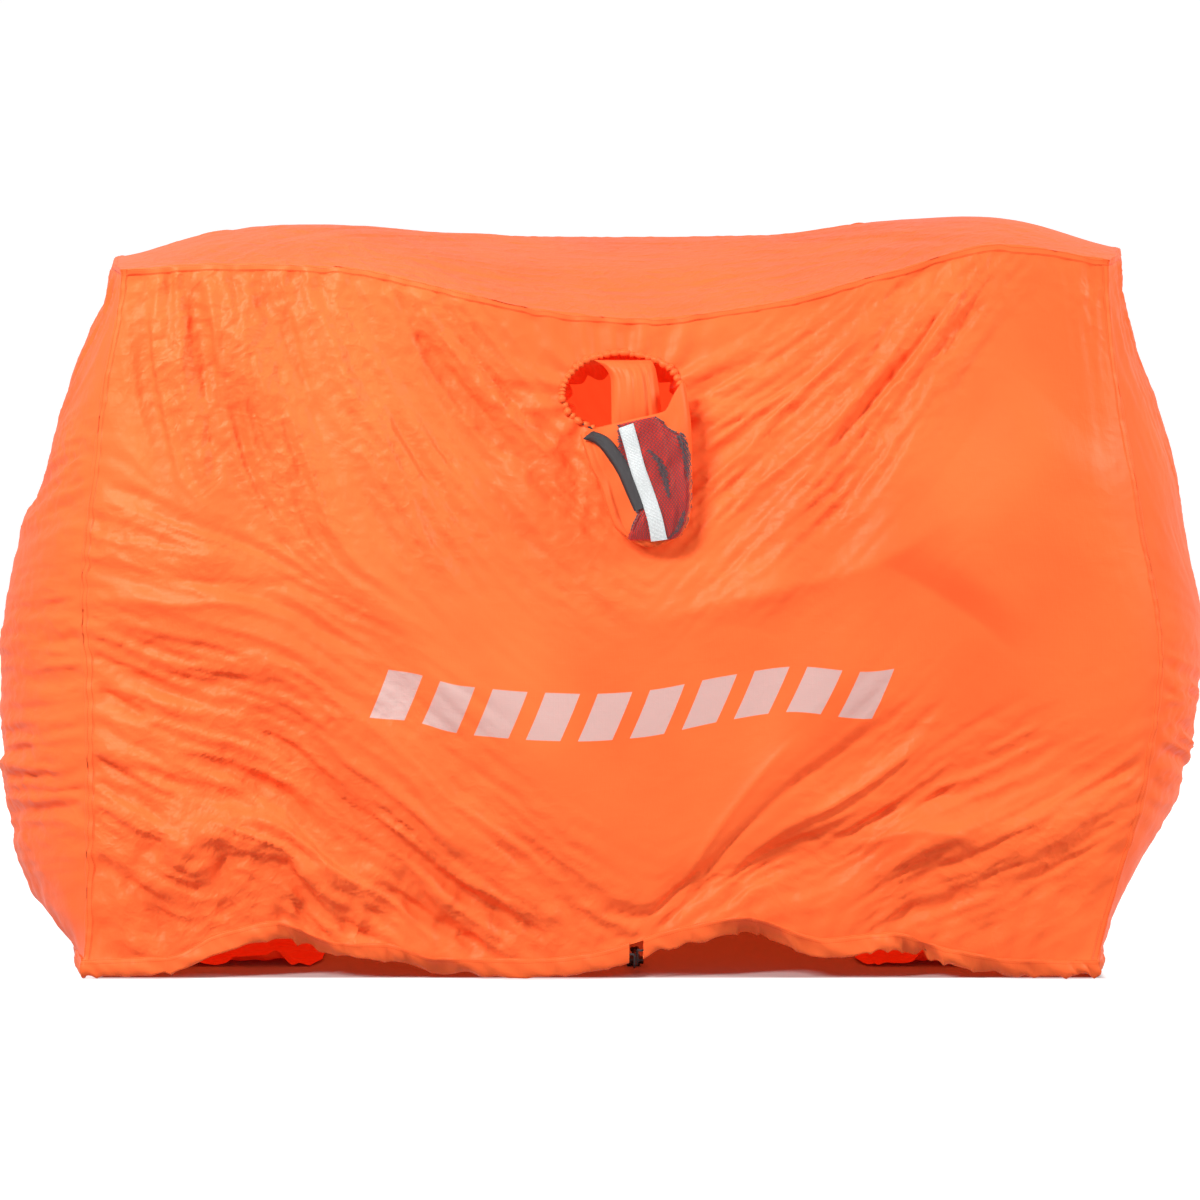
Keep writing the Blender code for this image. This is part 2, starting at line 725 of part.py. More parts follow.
def make_vent(prefix, panel, frame):
    centre, across, up, out = frame
    cut_height = VENT_RING * VENT_SQUASH + RIM_RADIUS + RIM_CLEAR
    bpy.ops.mesh.primitive_cylinder_add(vertices=RING_STEPS, radius=VENT_RADIUS, depth=VENT_CUT)
    cutter = bpy.context.object
    cutter.name = prefix + "_vent_cutter"
    turn = Matrix((across, up, out)).transposed().to_4x4()
    if turn.determinant() < 0:
        turn = Matrix((-across, up, out)).transposed().to_4x4()
    middle = centre + up * VENT_RING * (1 - VENT_SQUASH)
    oval = Matrix.Diagonal((1, cut_height / VENT_RADIUS, 1, 1))
    cutter.matrix_world = Matrix.Translation(middle) @ turn @ oval
    cut_away(panel, cutter)

    outer = [math.radians(180 + RIM_SLIT / 2 + (360 - RIM_SLIT) * k / 6) for k in range(7)]
    inside = RIM_RADIUS - RIM_WALL
    section = [(RIM_RADIUS * math.cos(a), RIM_RADIUS * math.sin(a)) for a in outer]
    section += [(inside * math.cos(a), inside * math.sin(a)) for a in reversed(outer)]
    oval_ring(prefix + "_vent_rim", frame, section, (SEAM_ORANGE, 0.6))

    elastic = [
        (ELASTIC / 2 * math.cos(a), ELASTIC / 2 * math.sin(a))
        for a in (math.pi / 2 * k for k in range(4))
    ]
    oval_ring(prefix + "_vent_elastic", frame, elastic, (BLACK, 0.7))

    back = -RIM_RADIUS - GAP
    mouth = RIM_RADIUS / 2
    sleeve = [
        (mouth, back), (mouth - SLEEVE_TAPER, back - SLEEVE_LENGTH),
        (mouth - SLEEVE_TAPER - CLOTH, back - SLEEVE_LENGTH), (mouth - CLOTH, back),
    ]
    oval_ring(prefix + "_vent_sleeve", frame, sleeve, (DEEP_ORANGE, 0.6))


# Stuff sack

class SackShape:
    """The pouch as a stack of oval rings that hang in front of the front wall."""

    def __init__(self, mouth):
        self.mouth = mouth
        self.clear = RIM_RADIUS + RIM_CLEAR

    def ring(self, fraction):
        width = SACK_MOUTH_WIDTH + (SACK_TIP_WIDTH - SACK_MOUTH_WIDTH) * fraction ** 1.3
        depth = SACK_MOUTH_DEPTH + (SACK_TIP_DEPTH - SACK_MOUTH_DEPTH) * fraction ** 1.5
        x = self.mouth.x + SACK_LEAN * fraction
        z = self.mouth.z - SACK_LENGTH * fraction
        s, v = locate("front", x, seam_height("front", 0.52) - z)
        wall_y = min(bare_wall("front", s + shift, v)[0].y for shift in (-0.06, 0, 0.06))
        return Vector((x, wall_y - self.clear - depth / 2, z)), width / 2, depth / 2

    def point(self, fraction, angle, proud, height=None):
        centre, half_width, half_depth = self.ring(fraction)
        x = centre.x + (half_width + proud) * math.cos(angle)
        y = centre.y + (half_depth + proud) * math.sin(angle)
        return Vector((x, y, centre.z if height is None else height))


def make_pouch(shape, pivot):
    fractions = [i / (SACK_ROWS - 1) for i in range(SACK_ROWS)]
    angles = [2 * math.pi * k / SACK_STEPS for k in range(SACK_STEPS)]
    floor = shape.ring(1.0)[0].z + CLOTH
    points = [shape.point(f, a, 0.0) for f in fractions for a in angles]
    for f in fractions:
        level = floor if f == fractions[-1] else None
        points += [shape.point(f, a, -CLOTH, level) for a in angles]
    count = SACK_STEPS
    faces = []
    for shell in range(2):
        base = shell * SACK_ROWS * count
        for i in range(SACK_ROWS - 1):
            for k in range(count):
                n = (k + 1) % count
                low = base + i * count
                faces.append((low + k, low + n, low + count + n, low + count + k))
        faces.append(tuple(base + (SACK_ROWS - 1) * count + k for k in range(count)))
    inner = SACK_ROWS * count
    for k in range(count):
        n = (k + 1) % count
        faces.append((k, n, inner + n, inner + k))
    return add_object("sack_pouch", points, faces, (RED, 0.6), pivot=pivot, smooth=True)


def pouch_skin(name, shape, pivot, first_row, last_row, first_step, last_step, under, sheet, material):
    """A sheet on the front of the pouch, over whole faces of it."""
    fractions = [i / (SACK_ROWS - 1) for i in range(first_row, last_row + 1)]
    angles = [2 * math.pi * k / SACK_STEPS for k in range(first_step, last_step + 1)]
    points = [
        shape.point(f, a, proud) for proud in (under, under + sheet) for f in fractions for a in angles
    ]
    wide = len(angles)
    tall = len(fractions)
    size = wide * tall
    faces = grid_faces(wide, tall, False)
    faces += [tuple(size + n for n in face) for face in grid_faces(wide, tall, True)]
    border = [i for i in range(wide)]
    border += [j * wide + wide - 1 for j in range(1, tall)]
    border += [(tall - 1) * wide + i for i in reversed(range(wide - 1))]
    border += [j * wide for j in reversed(range(1, tall - 1))]
    for a, b in zip(border, border[1:] + border[:1]):
        faces.append((a, b, size + b, size + a))
    return add_object(name, points, faces, material, pivot=pivot)


def make_neck(shape, pivot):
    """The tongue of cloth from the top of the vent rim down to the mouth of the pouch."""
    top = pivot.location
    mouth, _, half_depth = shape.ring(0.0)
    steps = 5
    points = []
    for inwards in (0.0, CLOTH):
        for j in range(steps + 1):
            f = j / steps
            for i in range(steps + 1):
                u = i / steps * 2 - 1
                x = top.x + NECK_SHIFT * (1 + f * 0.5) + u * NECK_WIDTH / 2
                front = (top.y - CLOTH) * (1 - f) + (mouth.y - half_depth) * f
                front -= NECK_ARCH * math.sin(math.pi * f) * (1 - u * u)
                z = (top.z - GAP) * (1 - f) + (mouth.z + SEAM_CLEAR) * f
                points.append(Vector((x, front + inwards, z)))
    wide = steps + 1
    size = wide * wide
    faces = grid_faces(wide, wide, True)
    faces += [tuple(size + n for n in face) for face in grid_faces(wide, wide, False)]
    border = list(range(wide)) + [j * wide + steps for j in range(1, wide)]
    border += [steps * wide + i for i in reversed(range(steps))]
    border += [j * wide for j in reversed(range(1, steps))]
    for a, b in zip(border, border[1:] + border[:1]):
        faces.append((a, b, size + b, size + a))
    return add_object("sack_neck", points, faces, (ORANGE, 0.55), pivot=pivot)


def make_sack(frame):
    centre, _, up, out = frame
    hinge = centre + up * VENT_RING + out * (RIM_RADIUS + 3 * GAP)
    pivot = make_pivot("stuff_sack_pivot", hinge)
    mouth = Vector((centre.x, 0, hinge.z - SACK_MOUTH_DROP))
    shape = SackShape(mouth)
    make_pouch(shape, pivot)
    make_neck(shape, pivot)
    quarter = SACK_STEPS * 3 // 4
    last = SACK_ROWS - 1
    over_mesh = SEAM_CLEAR + MESH_SHEET + SEAM_CLEAR
    pouch_skin("sack_mesh", shape, pivot, 1, last, quarter - 3, quarter + 4,
               SEAM_CLEAR, MESH_SHEET, (BLACK, 0.8))
    pouch_skin("sack_webbing", shape, pivot, 1, last, quarter, quarter + 1,
               over_mesh, TAPE_SHEET, (SILVER, 0.4))
    pouch_skin("sack_label", shape, pivot, 1, last - 2, quarter - 3, quarter - 1,
               over_mesh, LABEL_SHEET, (BLACK, 0.5))


# Seats

def make_seat(end):
    """A seat: the tab that is sewn to the hem, and the flap that folds up from it."""
    side = -1 if end == "left" else 1
    half = SEAT_WIDTH / 2
    inner_face = CLOTH / 2 + CASING_DEPTH / 2 + 4 * GAP
    steps = 8
    curve = []
    for i in range(steps + 1):
        y = -half + SEAT_WIDTH * i / steps
        s = y / HEM_DEPTH + 0.5
        curve.append(Vector((wall_point(end, s, 0).x - side * inner_face, y, 0)))
    fold_x = curve[0].x - side * SEAT_TAB
    tab = curve + [Vector((fold_x + side * GAP, half, 0)), Vector((fold_x + side * GAP, -half, 0))]
    rise = Vector((0, 0, SEAT_SHEET))
    count = len(tab)
    sides = [(k, (k + 1) % count, count + (k + 1) % count, count + k) for k in range(count)]
    faces = [tuple(range(count)), tuple(range(count, 2 * count))] + sides
    add_object(end + "_seat_tab", tab + [p + rise for p in tab], faces, (DEEP_ORANGE, 0.7))
    pivot = make_pivot(end + "_seat_pivot", (fold_x, 0, SEAT_SHEET))
    far_x = fold_x - side * SEAT_LENGTH
    flap = [
        Vector((fold_x - side * GAP, -half, 0)), Vector((far_x + side * SEAT_CORNER, -half, 0)),
        Vector((far_x, -half + SEAT_CORNER, 0)), Vector((far_x, half - SEAT_CORNER, 0)),
        Vector((far_x + side * SEAT_CORNER, half, 0)), Vector((fold_x - side * GAP, half, 0)),
    ]
    count = len(flap)
    sides = [(k, (k + 1) % count, count + (k + 1) % count, count + k) for k in range(count)]
    faces = [tuple(range(count)), tuple(range(count, 2 * count))] + sides
    add_object(end + "_seat", flap + [p + rise for p in flap], faces, (DEEP_ORANGE, 0.7), pivot=pivot)


# Cord lock

def make_round(name, x0, x1, radius, place, material, pivot, bevel=0.0):
    """A cylinder along X with bevelled ends."""
    bpy.ops.mesh.primitive_cylinder_add(vertices=20, radius=radius, depth=x1 - x0)
    item = bpy.context.object
    item.name = name
    item.data.name = name
    mesh = item.data
    turn = Matrix.Translation(((x0 + x1) / 2, 0, 0)) @ Matrix.Rotation(math.pi / 2, 4, "Y")
    mesh.transform(Matrix.Translation(place - (pivot.location if pivot else Vector())) @ turn)
    item.parent = pivot
    if material:
        mesh.materials.append(make_material(name, *material))
        mesh.shade_smooth()
        mesh.set_sharp_from_angle(angle=math.radians(40))
    if bevel:
        edge = item.modifiers.new("rounded ends", "BEVEL")
        edge.width = bevel
        edge.segments = 2
        edge.limit_method = "ANGLE"
    return item


def slot_cutter(name, x0, x1, height, place, pivot):
    bpy.ops.mesh.primitive_cube_add(size=1)
    item = bpy.context.object
    item.name = name
    shift = place - pivot.location + Vector(((x0 + x1) / 2, 0, 0))
    scale = Matrix.Diagonal((x1 - x0, 4 * BARREL_RADIUS, height, 1))
    item.data.transform(Matrix.Translation(shift) @ scale)
    item.parent = pivot
    return item


def make_lock(height):
    """The barrel, the plunger in it and the spring behind the plunger, with the cords through both."""
    centre = Vector((CORD_GAP_X, LOCK_Y, height))
    pivot = make_pivot("cord_lock_pivot", centre)
    half_cord = CORD / 2 + CORD_CLEAR
    slot_height = CORD_PITCH + CORD + 2 * CORD_CLEAR
    bore = BARREL_RADIUS - BARREL_WALL
    plunger_back = -half_cord - PLUNGER_END
    spring_back = plunger_back - GAP - SPRING_REST - GAP
    mouth = half_cord + PRESS_TRAVEL + BARREL_LIP

    barrel = make_round("cord_lock_barrel", spring_back - BARREL_END, mouth, BARREL_RADIUS, centre,
                        (BLACK, 0.45), pivot, bevel=BARREL_BEVEL)
    hollow = make_round("barrel_bore_cutter", spring_back, mouth + 0.01, bore, centre, None, pivot)
    cut_away(barrel, hollow)
    cut_away(barrel, slot_cutter("barrel_slot_cutter", -half_cord, half_cord, slot_height, centre, pivot))

    button_pivot = make_pivot("cord_lock_button_pivot", centre)
    plunger = make_round("cord_lock_plunger", plunger_back, mouth + PLUNGER_PROUD, bore - PLUNGER_CLEAR,
                         centre, (BLACK, 0.4), button_pivot, bevel=PLUNGER_BEVEL)
    slot = slot_cutter("plunger_slot_cutter", -half_cord, half_cord + PRESS_TRAVEL, slot_height,
                       centre, button_pivot)
    cut_away(plunger, slot)

    per_turn = 10
    radius = bore - SPRING_WIRE - SPRING_CLEAR
    span = SPRING_REST - SPRING_WIRE
    coil = []
    for i in range(SPRING_TURNS * per_turn + 1):
        angle = 2 * math.pi * i / per_turn
        x = spring_back + GAP / 2 + SPRING_WIRE / 2 + span * i / (SPRING_TURNS * per_turn)
        coil.append(centre + Vector((x, radius * math.cos(angle), radius * math.sin(angle))))
    make_tube("cord_lock_spring", coil, SPRING_WIRE, 6, (STEEL, 0.3, 1.0), pivot=pivot)


def make_drawcord(path, ways):
    centre_in = CLOTH / 2
    centre_up = Vector((0, 0, CASING_HEIGHT / 2))
    inside = [here + way * centre_in + centre_up for here, way in zip(path, ways)]
    make_tube("hem_drawcord", inside, CORD, 5, (BLACK, 0.8))
    height = BARREL_RADIUS + GAP
    knot_y = LOCK_Y + TAIL_END + GAP + KNOT_RADIUS
    for name, side, low in (("left_drawcord_tail", -1, -1), ("right_drawcord_tail", 1, 1)):
        start, behind = (inside[-1], inside[-2]) if side < 0 else (inside[0], inside[1])
        out_way = (start - behind).normalized()
        route = tail_route(side, start, out_way, height + low * CORD_PITCH / 2)
        make_tube(name, smooth_route(route, CORD * 2), CORD, 8, (BLACK, 0.8))
    bpy.ops.mesh.primitive_ico_sphere_add(subdivisions=2, radius=KNOT_RADIUS)
    knot = bpy.context.object
    knot.name = "drawcord_knot"
    knot.location = (CORD_GAP_X, knot_y, height)
    knot.data.materials.append(make_material("drawcord_knot", BLACK, 0.8))
    knot.data.shade_smooth()
    return height


def build():
    clear_scene()
    front = make_panel("front_panel", "front", False)
    rear = make_panel("rear_panel", "rear", True)
    make_panel("roof_panel", "roof", False)
    make_panel("left_end_panel", "left", True)
    make_panel("right_end_panel", "right", False)

    corner_strip("front_left_seam", "front", "left", 0.0, 0.0)
    corner_strip("front_right_seam", "front", "right", 1.0, 0.0)
    corner_strip("rear_left_seam", "rear", "left", 0.0, 1.0)
    corner_strip("rear_right_seam", "rear", "right", 1.0, 1.0)
    roof_strip("roof_front_seam", "front", 0.0)
    roof_strip("roof_rear_seam", "rear", 1.0)
    roof_strip("roof_left_seam", "left", 0.0)
    roof_strip("roof_right_seam", "right", 1.0)

    path = hem_path()
    ways = inward_ways(path)
    make_casing(path, ways)
    height = make_drawcord(path, ways)
    make_lock(height)

    front_frame = vent_frame("front", VENT_X, VENT_DROP)
    make_vent("front", front, front_frame)
    make_vent("rear", rear, vent_frame("rear", REAR_VENT_X, REAR_VENT_DROP))
    make_sack(front_frame)
    make_seat("left")
    make_seat("right")


build()
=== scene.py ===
"""Looks of the bothy bag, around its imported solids.

The skin of the shelter is the same formula as in the solids. Here it is cut into fine grids of cloth
that are a little too large for it, and settles into the folds of thin coated nylon.
"""

import math

import bpy
import numpy as np
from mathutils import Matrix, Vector
from mathutils.geometry import delaunay_2d_cdt


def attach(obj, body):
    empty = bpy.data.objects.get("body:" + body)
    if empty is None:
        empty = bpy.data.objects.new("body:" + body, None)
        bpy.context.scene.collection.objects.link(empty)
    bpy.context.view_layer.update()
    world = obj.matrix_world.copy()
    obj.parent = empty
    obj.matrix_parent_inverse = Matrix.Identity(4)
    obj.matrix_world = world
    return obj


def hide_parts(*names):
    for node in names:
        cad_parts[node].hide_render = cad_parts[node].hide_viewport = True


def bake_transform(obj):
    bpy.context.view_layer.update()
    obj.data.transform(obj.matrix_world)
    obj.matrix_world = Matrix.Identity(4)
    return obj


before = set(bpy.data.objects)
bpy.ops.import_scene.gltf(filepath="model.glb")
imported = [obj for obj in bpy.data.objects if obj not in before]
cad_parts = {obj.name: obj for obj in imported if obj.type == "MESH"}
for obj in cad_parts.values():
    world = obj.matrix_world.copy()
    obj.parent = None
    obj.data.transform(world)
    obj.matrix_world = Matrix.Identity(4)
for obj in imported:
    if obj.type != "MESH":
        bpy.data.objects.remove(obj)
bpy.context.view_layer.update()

# Sizes that the solids have too.
CLOTH = 0.0015
GAP = 0.0003
HEM_REACH = 0.57
HEM_DEPTH = 0.5
SEAM_HEIGHT = 0.79
ROOF_DOME = 0.025
WALL_BELLY = 0.014
BULGE_POWER = 2.2
CASING_HEIGHT = 0.021
CASING_DEPTH = 0.006
SLEEVE_LENGTH = 0.045
SLEEVE_TAPER = 0.006
SACK_MOUTH_DEPTH = 0.036
SACK_TIP_DEPTH = 0.02
SACK_MOUTH_DROP = 0.052
SEAT_LENGTH = 0.26
SEAT_WIDTH = 0.34
SEAT_TAB = 0.01
SEAT_CORNER = 0.03
TAIL_END = 0.058
BARREL_RADIUS = 0.0066
CORD_PITCH = 0.003
KNOT_RADIUS = 0.0058
KNOT_CORD = 0.0015
CORD_EASE = 0.03
CORD = 0.0024
CORD_GAP_X = 0.04
CORD_GAP = 0.016
VENT_X = 0.024
VENT_DROP = 0.104
REAR_VENT_X = -0.16
REAR_VENT_DROP = 0.2
VENT_RADIUS = 0.0725
VENT_SQUASH = 0.68
RIM_RADIUS = 0.0055
RIM_CLEAR = 0.001
CALM_HALF_WIDTH = 0.105
CALM_HALF_HEIGHT = 0.15
CALM_DROP = 0.07
CALM_START = 0.9
CALM_FADE = 0.6
FOLD_FADE = 0.05
LOCK_Y = -0.165

LEFT_CORNER = ((0, 0.003), (0.14, -0.001), (0.33, -0.003), (0.55, 0.005), (0.8, -0.01), (1, -0.04))
RIGHT_CORNER = (
    (0, -0.017), (0.11, 0.012), (0.26, 0.045), (0.43, 0.062), (0.63, 0.038), (0.79, 0.016), (1, -0.006),
)
DEPTH_IN = ((0, 0), (0.5, 0.015), (1, 0.05))
LEFT_BULGE = (
    (0, 0.035), (0.07, 0.082), (0.15, 0.107), (0.38, 0.124), (0.6, 0.107), (0.82, 0.07), (1, 0.028),
)
RIGHT_BULGE = ((0, 0.026), (0.1, 0.05), (0.22, 0.078), (0.48, 0.073), (0.75, 0.055), (1, 0.035))
FRONT_SEAM = (
    (0, -0.005), (0.1, 0.002), (0.22, -0.002), (0.33, -0.026), (0.42, -0.048),
    (0.53, -0.058), (0.65, -0.043), (0.78, -0.007), (0.89, 0.023), (1, 0.006),
)
REAR_SEAM = (
    (0, 0.01), (0.1, 0.048), (0.2, 0.055), (0.35, 0.048), (0.5, 0.046),
    (0.67, 0.048), (0.8, 0.063), (0.9, 0.055), (1, 0.02),
)
END_SEAM_RISE = 0.014
FRONT_LIFT = (
    (0, 0), (0.08, 0.004), (0.136, 0.03), (0.189, 0.042), (0.25, 0.021), (0.3, 0.018),
    (0.349, 0.003), (0.45, 0.002), (0.509, 0.01), (0.589, 0.036), (0.65, 0.047),
    (0.731, 0.024), (0.793, 0.03), (0.855, 0.012), (0.926, 0), (1, 0),
)
REAR_LIFT = ((0, 0), (0.12, 0), (0.22, 0.018), (0.35, 0), (0.55, 0), (0.68, 0.022), (0.8, 0), (1, 0))
FOLDS = {
    "front": (
        (0.05, 0.97, 0.13, 0.5, 0.03, 0.01), (0.09, 0.98, 0.38, 0.3, 0.04, 0.012),
        (0.19, 0.97, 0.5, 0.1, 0.042, 0.01), (0.3, 0.93, 0.5, 0.5, 0.04, -0.008),
        (0.02, 0.62, 0.4, 0.12, 0.055, 0.014), (0.76, 0.95, 0.62, 0.48, 0.038, 0.01),
        (0.84, 0.97, 0.62, 0.12, 0.045, 0.011), (0.95, 0.75, 0.8, 0.5, 0.08, 0.02),
        (0.05, 0.19, 0.3, 0.08, 0.034, 0.014), (0.95, 0.21, 0.76, 0.12, 0.036, 0.016),
        (0.55, 0.04, 0.78, 0.15, 0.034, -0.012),
    ),
    "rear": (
        (0.1, 0.97, 0.42, 0.15, 0.045, 0.012), (0.22, 0.97, 0.55, 0.25, 0.045, -0.009),
        (0.88, 0.97, 0.6, 0.12, 0.045, 0.012), (0.78, 0.96, 0.66, 0.45, 0.04, 0.009),
        (0.06, 0.3, 0.36, 0.1, 0.04, 0.013), (0.94, 0.24, 0.7, 0.1, 0.04, 0.013),
    ),
    "left": (
        (0.15, 0.66, 0.85, 0.58, 0.034, 0.008), (0.1, 0.46, 0.8, 0.38, 0.032, 0.009),
        (0.2, 0.26, 0.9, 0.2, 0.03, 0.01), (0.35, 0.95, 0.6, 0.7, 0.036, 0.007),
    ),
    "right": (
        (0.3, 0.96, 0.7, 0.45, 0.036, 0.008), (0.15, 0.3, 0.85, 0.22, 0.032, 0.01),
        (0.2, 0.62, 0.75, 0.36, 0.034, -0.007),
    ),
    "roof": (
        (0.16, 0.1, 0.4, 0.9, 0.04, 0.007), (0.84, 0.1, 0.58, 0.85, 0.04, 0.008),
        (0.3, 0.15, 0.62, 0.3, 0.034, -0.006),
    ),
}

WALL_HEIGHT = SEAM_HEIGHT - CASING_HEIGHT - GAP
ROOF_DEPTH = HEM_DEPTH - 2 * DEPTH_IN[-1][1]
SPAN = {
    "front": 2 * HEM_REACH, "rear": 2 * HEM_REACH,
    "left": ROOF_DEPTH, "right": ROOF_DEPTH, "roof": 2 * HEM_REACH,
}
VENTS = {"front": (VENT_X, VENT_DROP), "rear": (REAR_VENT_X, REAR_VENT_DROP)}
VENT_RING = VENT_RADIUS - RIM_RADIUS - RIM_CLEAR

# The cloth grids: steps along a long side, along an end and up a wall, coarse to fine.
LEVELS = ((80, 28, 55), (160, 56, 110), (320, 112, 220))
# At each level that settles: share of the spare cloth, rounds, noise to start with, bending, hold.
SETTLING = (
    (0.2, 70, 0.004, 0.2, 0.02),
    (1.0, 130, 0.0016, 0.1, 0.008),
)
MOMENTUM = 0.85
BUMP_ROUNDS = 3
SLANT_STIFF = 0.4
FLOOR = 0.0004
# How hard the cloth is held at its seams and hem, its reach there, and how much harder where it is smooth.
EDGE_GRIP = 0.05
SEAM_GRIP_REACH = 0.006
HEM_GRIP_REACH = 0.01
SMOOTH_GRIP = 3
# Cloth this near a vent's rim line doesn't move.
VENT_HELD = 0.003

# Where each wall's cloth is pulled tight: start and end as fractions along and up it, how far the pull
# reaches, and the share of spare cloth across it.
PULLS = {
    "front": (
        (0.06, 0.98, 0.11, 0.72, 0.05, 0.045), (0.12, 0.98, 0.2, 0.62, 0.06, 0.045),
        (0.2, 0.98, 0.33, 0.66, 0.07, 0.04), (0.3, 0.97, 0.47, 0.72, 0.06, 0.035),
        (0.38, 0.7, 0.48, 0.56, 0.05, 0.02), (0.01, 0.62, 0.24, 0.5, 0.06, 0.022),
        (0.01, 0.46, 0.22, 0.34, 0.06, 0.03), (0.06, 0.38, 0.42, 0.05, 0.08, 0.032),
        (0.22, 0.38, 0.52, 0.05, 0.07, 0.022), (0.02, 0.25, 0.26, 0.03, 0.07, 0.04),
        (0.87, 0.97, 0.7, 0.7, 0.05, 0.035), (0.8, 0.96, 0.6, 0.7, 0.06, 0.028),
        (0.7, 0.92, 0.56, 0.82, 0.05, 0.025), (0.68, 0.66, 0.56, 0.5, 0.06, 0.014),
        (0.76, 0.36, 0.58, 0.04, 0.06, 0.022), (0.86, 0.28, 0.64, 0.06, 0.06, 0.022),
        (0.96, 0.24, 0.8, 0.08, 0.06, 0.026), (0.97, 0.95, 0.96, 0.55, 0.03, 0.02),
    ),
    "rear": (
        (0.08, 0.98, 0.2, 0.45, 0.09, 0.035), (0.22, 0.98, 0.44, 0.5, 0.1, 0.032),
        (0.3, 0.5, 0.52, 0.1, 0.11, 0.022), (0.92, 0.98, 0.8, 0.45, 0.08, 0.035),
        (0.8, 0.98, 0.6, 0.55, 0.09, 0.032), (0.72, 0.45, 0.56, 0.1, 0.11, 0.022),
        (0.04, 0.34, 0.34, 0.06, 0.09, 0.03), (0.96, 0.28, 0.7, 0.06, 0.09, 0.03),
    ),
    "left": (
        (0.15, 0.7, 0.85, 0.58, 0.07, 0.018), (0.1, 0.46, 0.8, 0.38, 0.07, 0.02),
        (0.2, 0.26, 0.9, 0.18, 0.08, 0.026), (0.3, 0.98, 0.55, 0.72, 0.08, 0.022),
    ),
    "right": (
        (0.25, 0.98, 0.55, 0.55, 0.08, 0.018), (0.15, 0.32, 0.85, 0.2, 0.08, 0.022),
        (0.8, 0.95, 0.75, 0.5, 0.07, 0.018),
    ),
    "roof": (
        (0.14, 0.08, 0.36, 0.9, 0.09, 0.022), (0.86, 0.08, 0.6, 0.88, 0.09, 0.022),
        (0.3, 0.2, 0.66, 0.28, 0.08, 0.018), (0.4, 0.75, 0.7, 0.8, 0.09, 0.018),
    ),
}
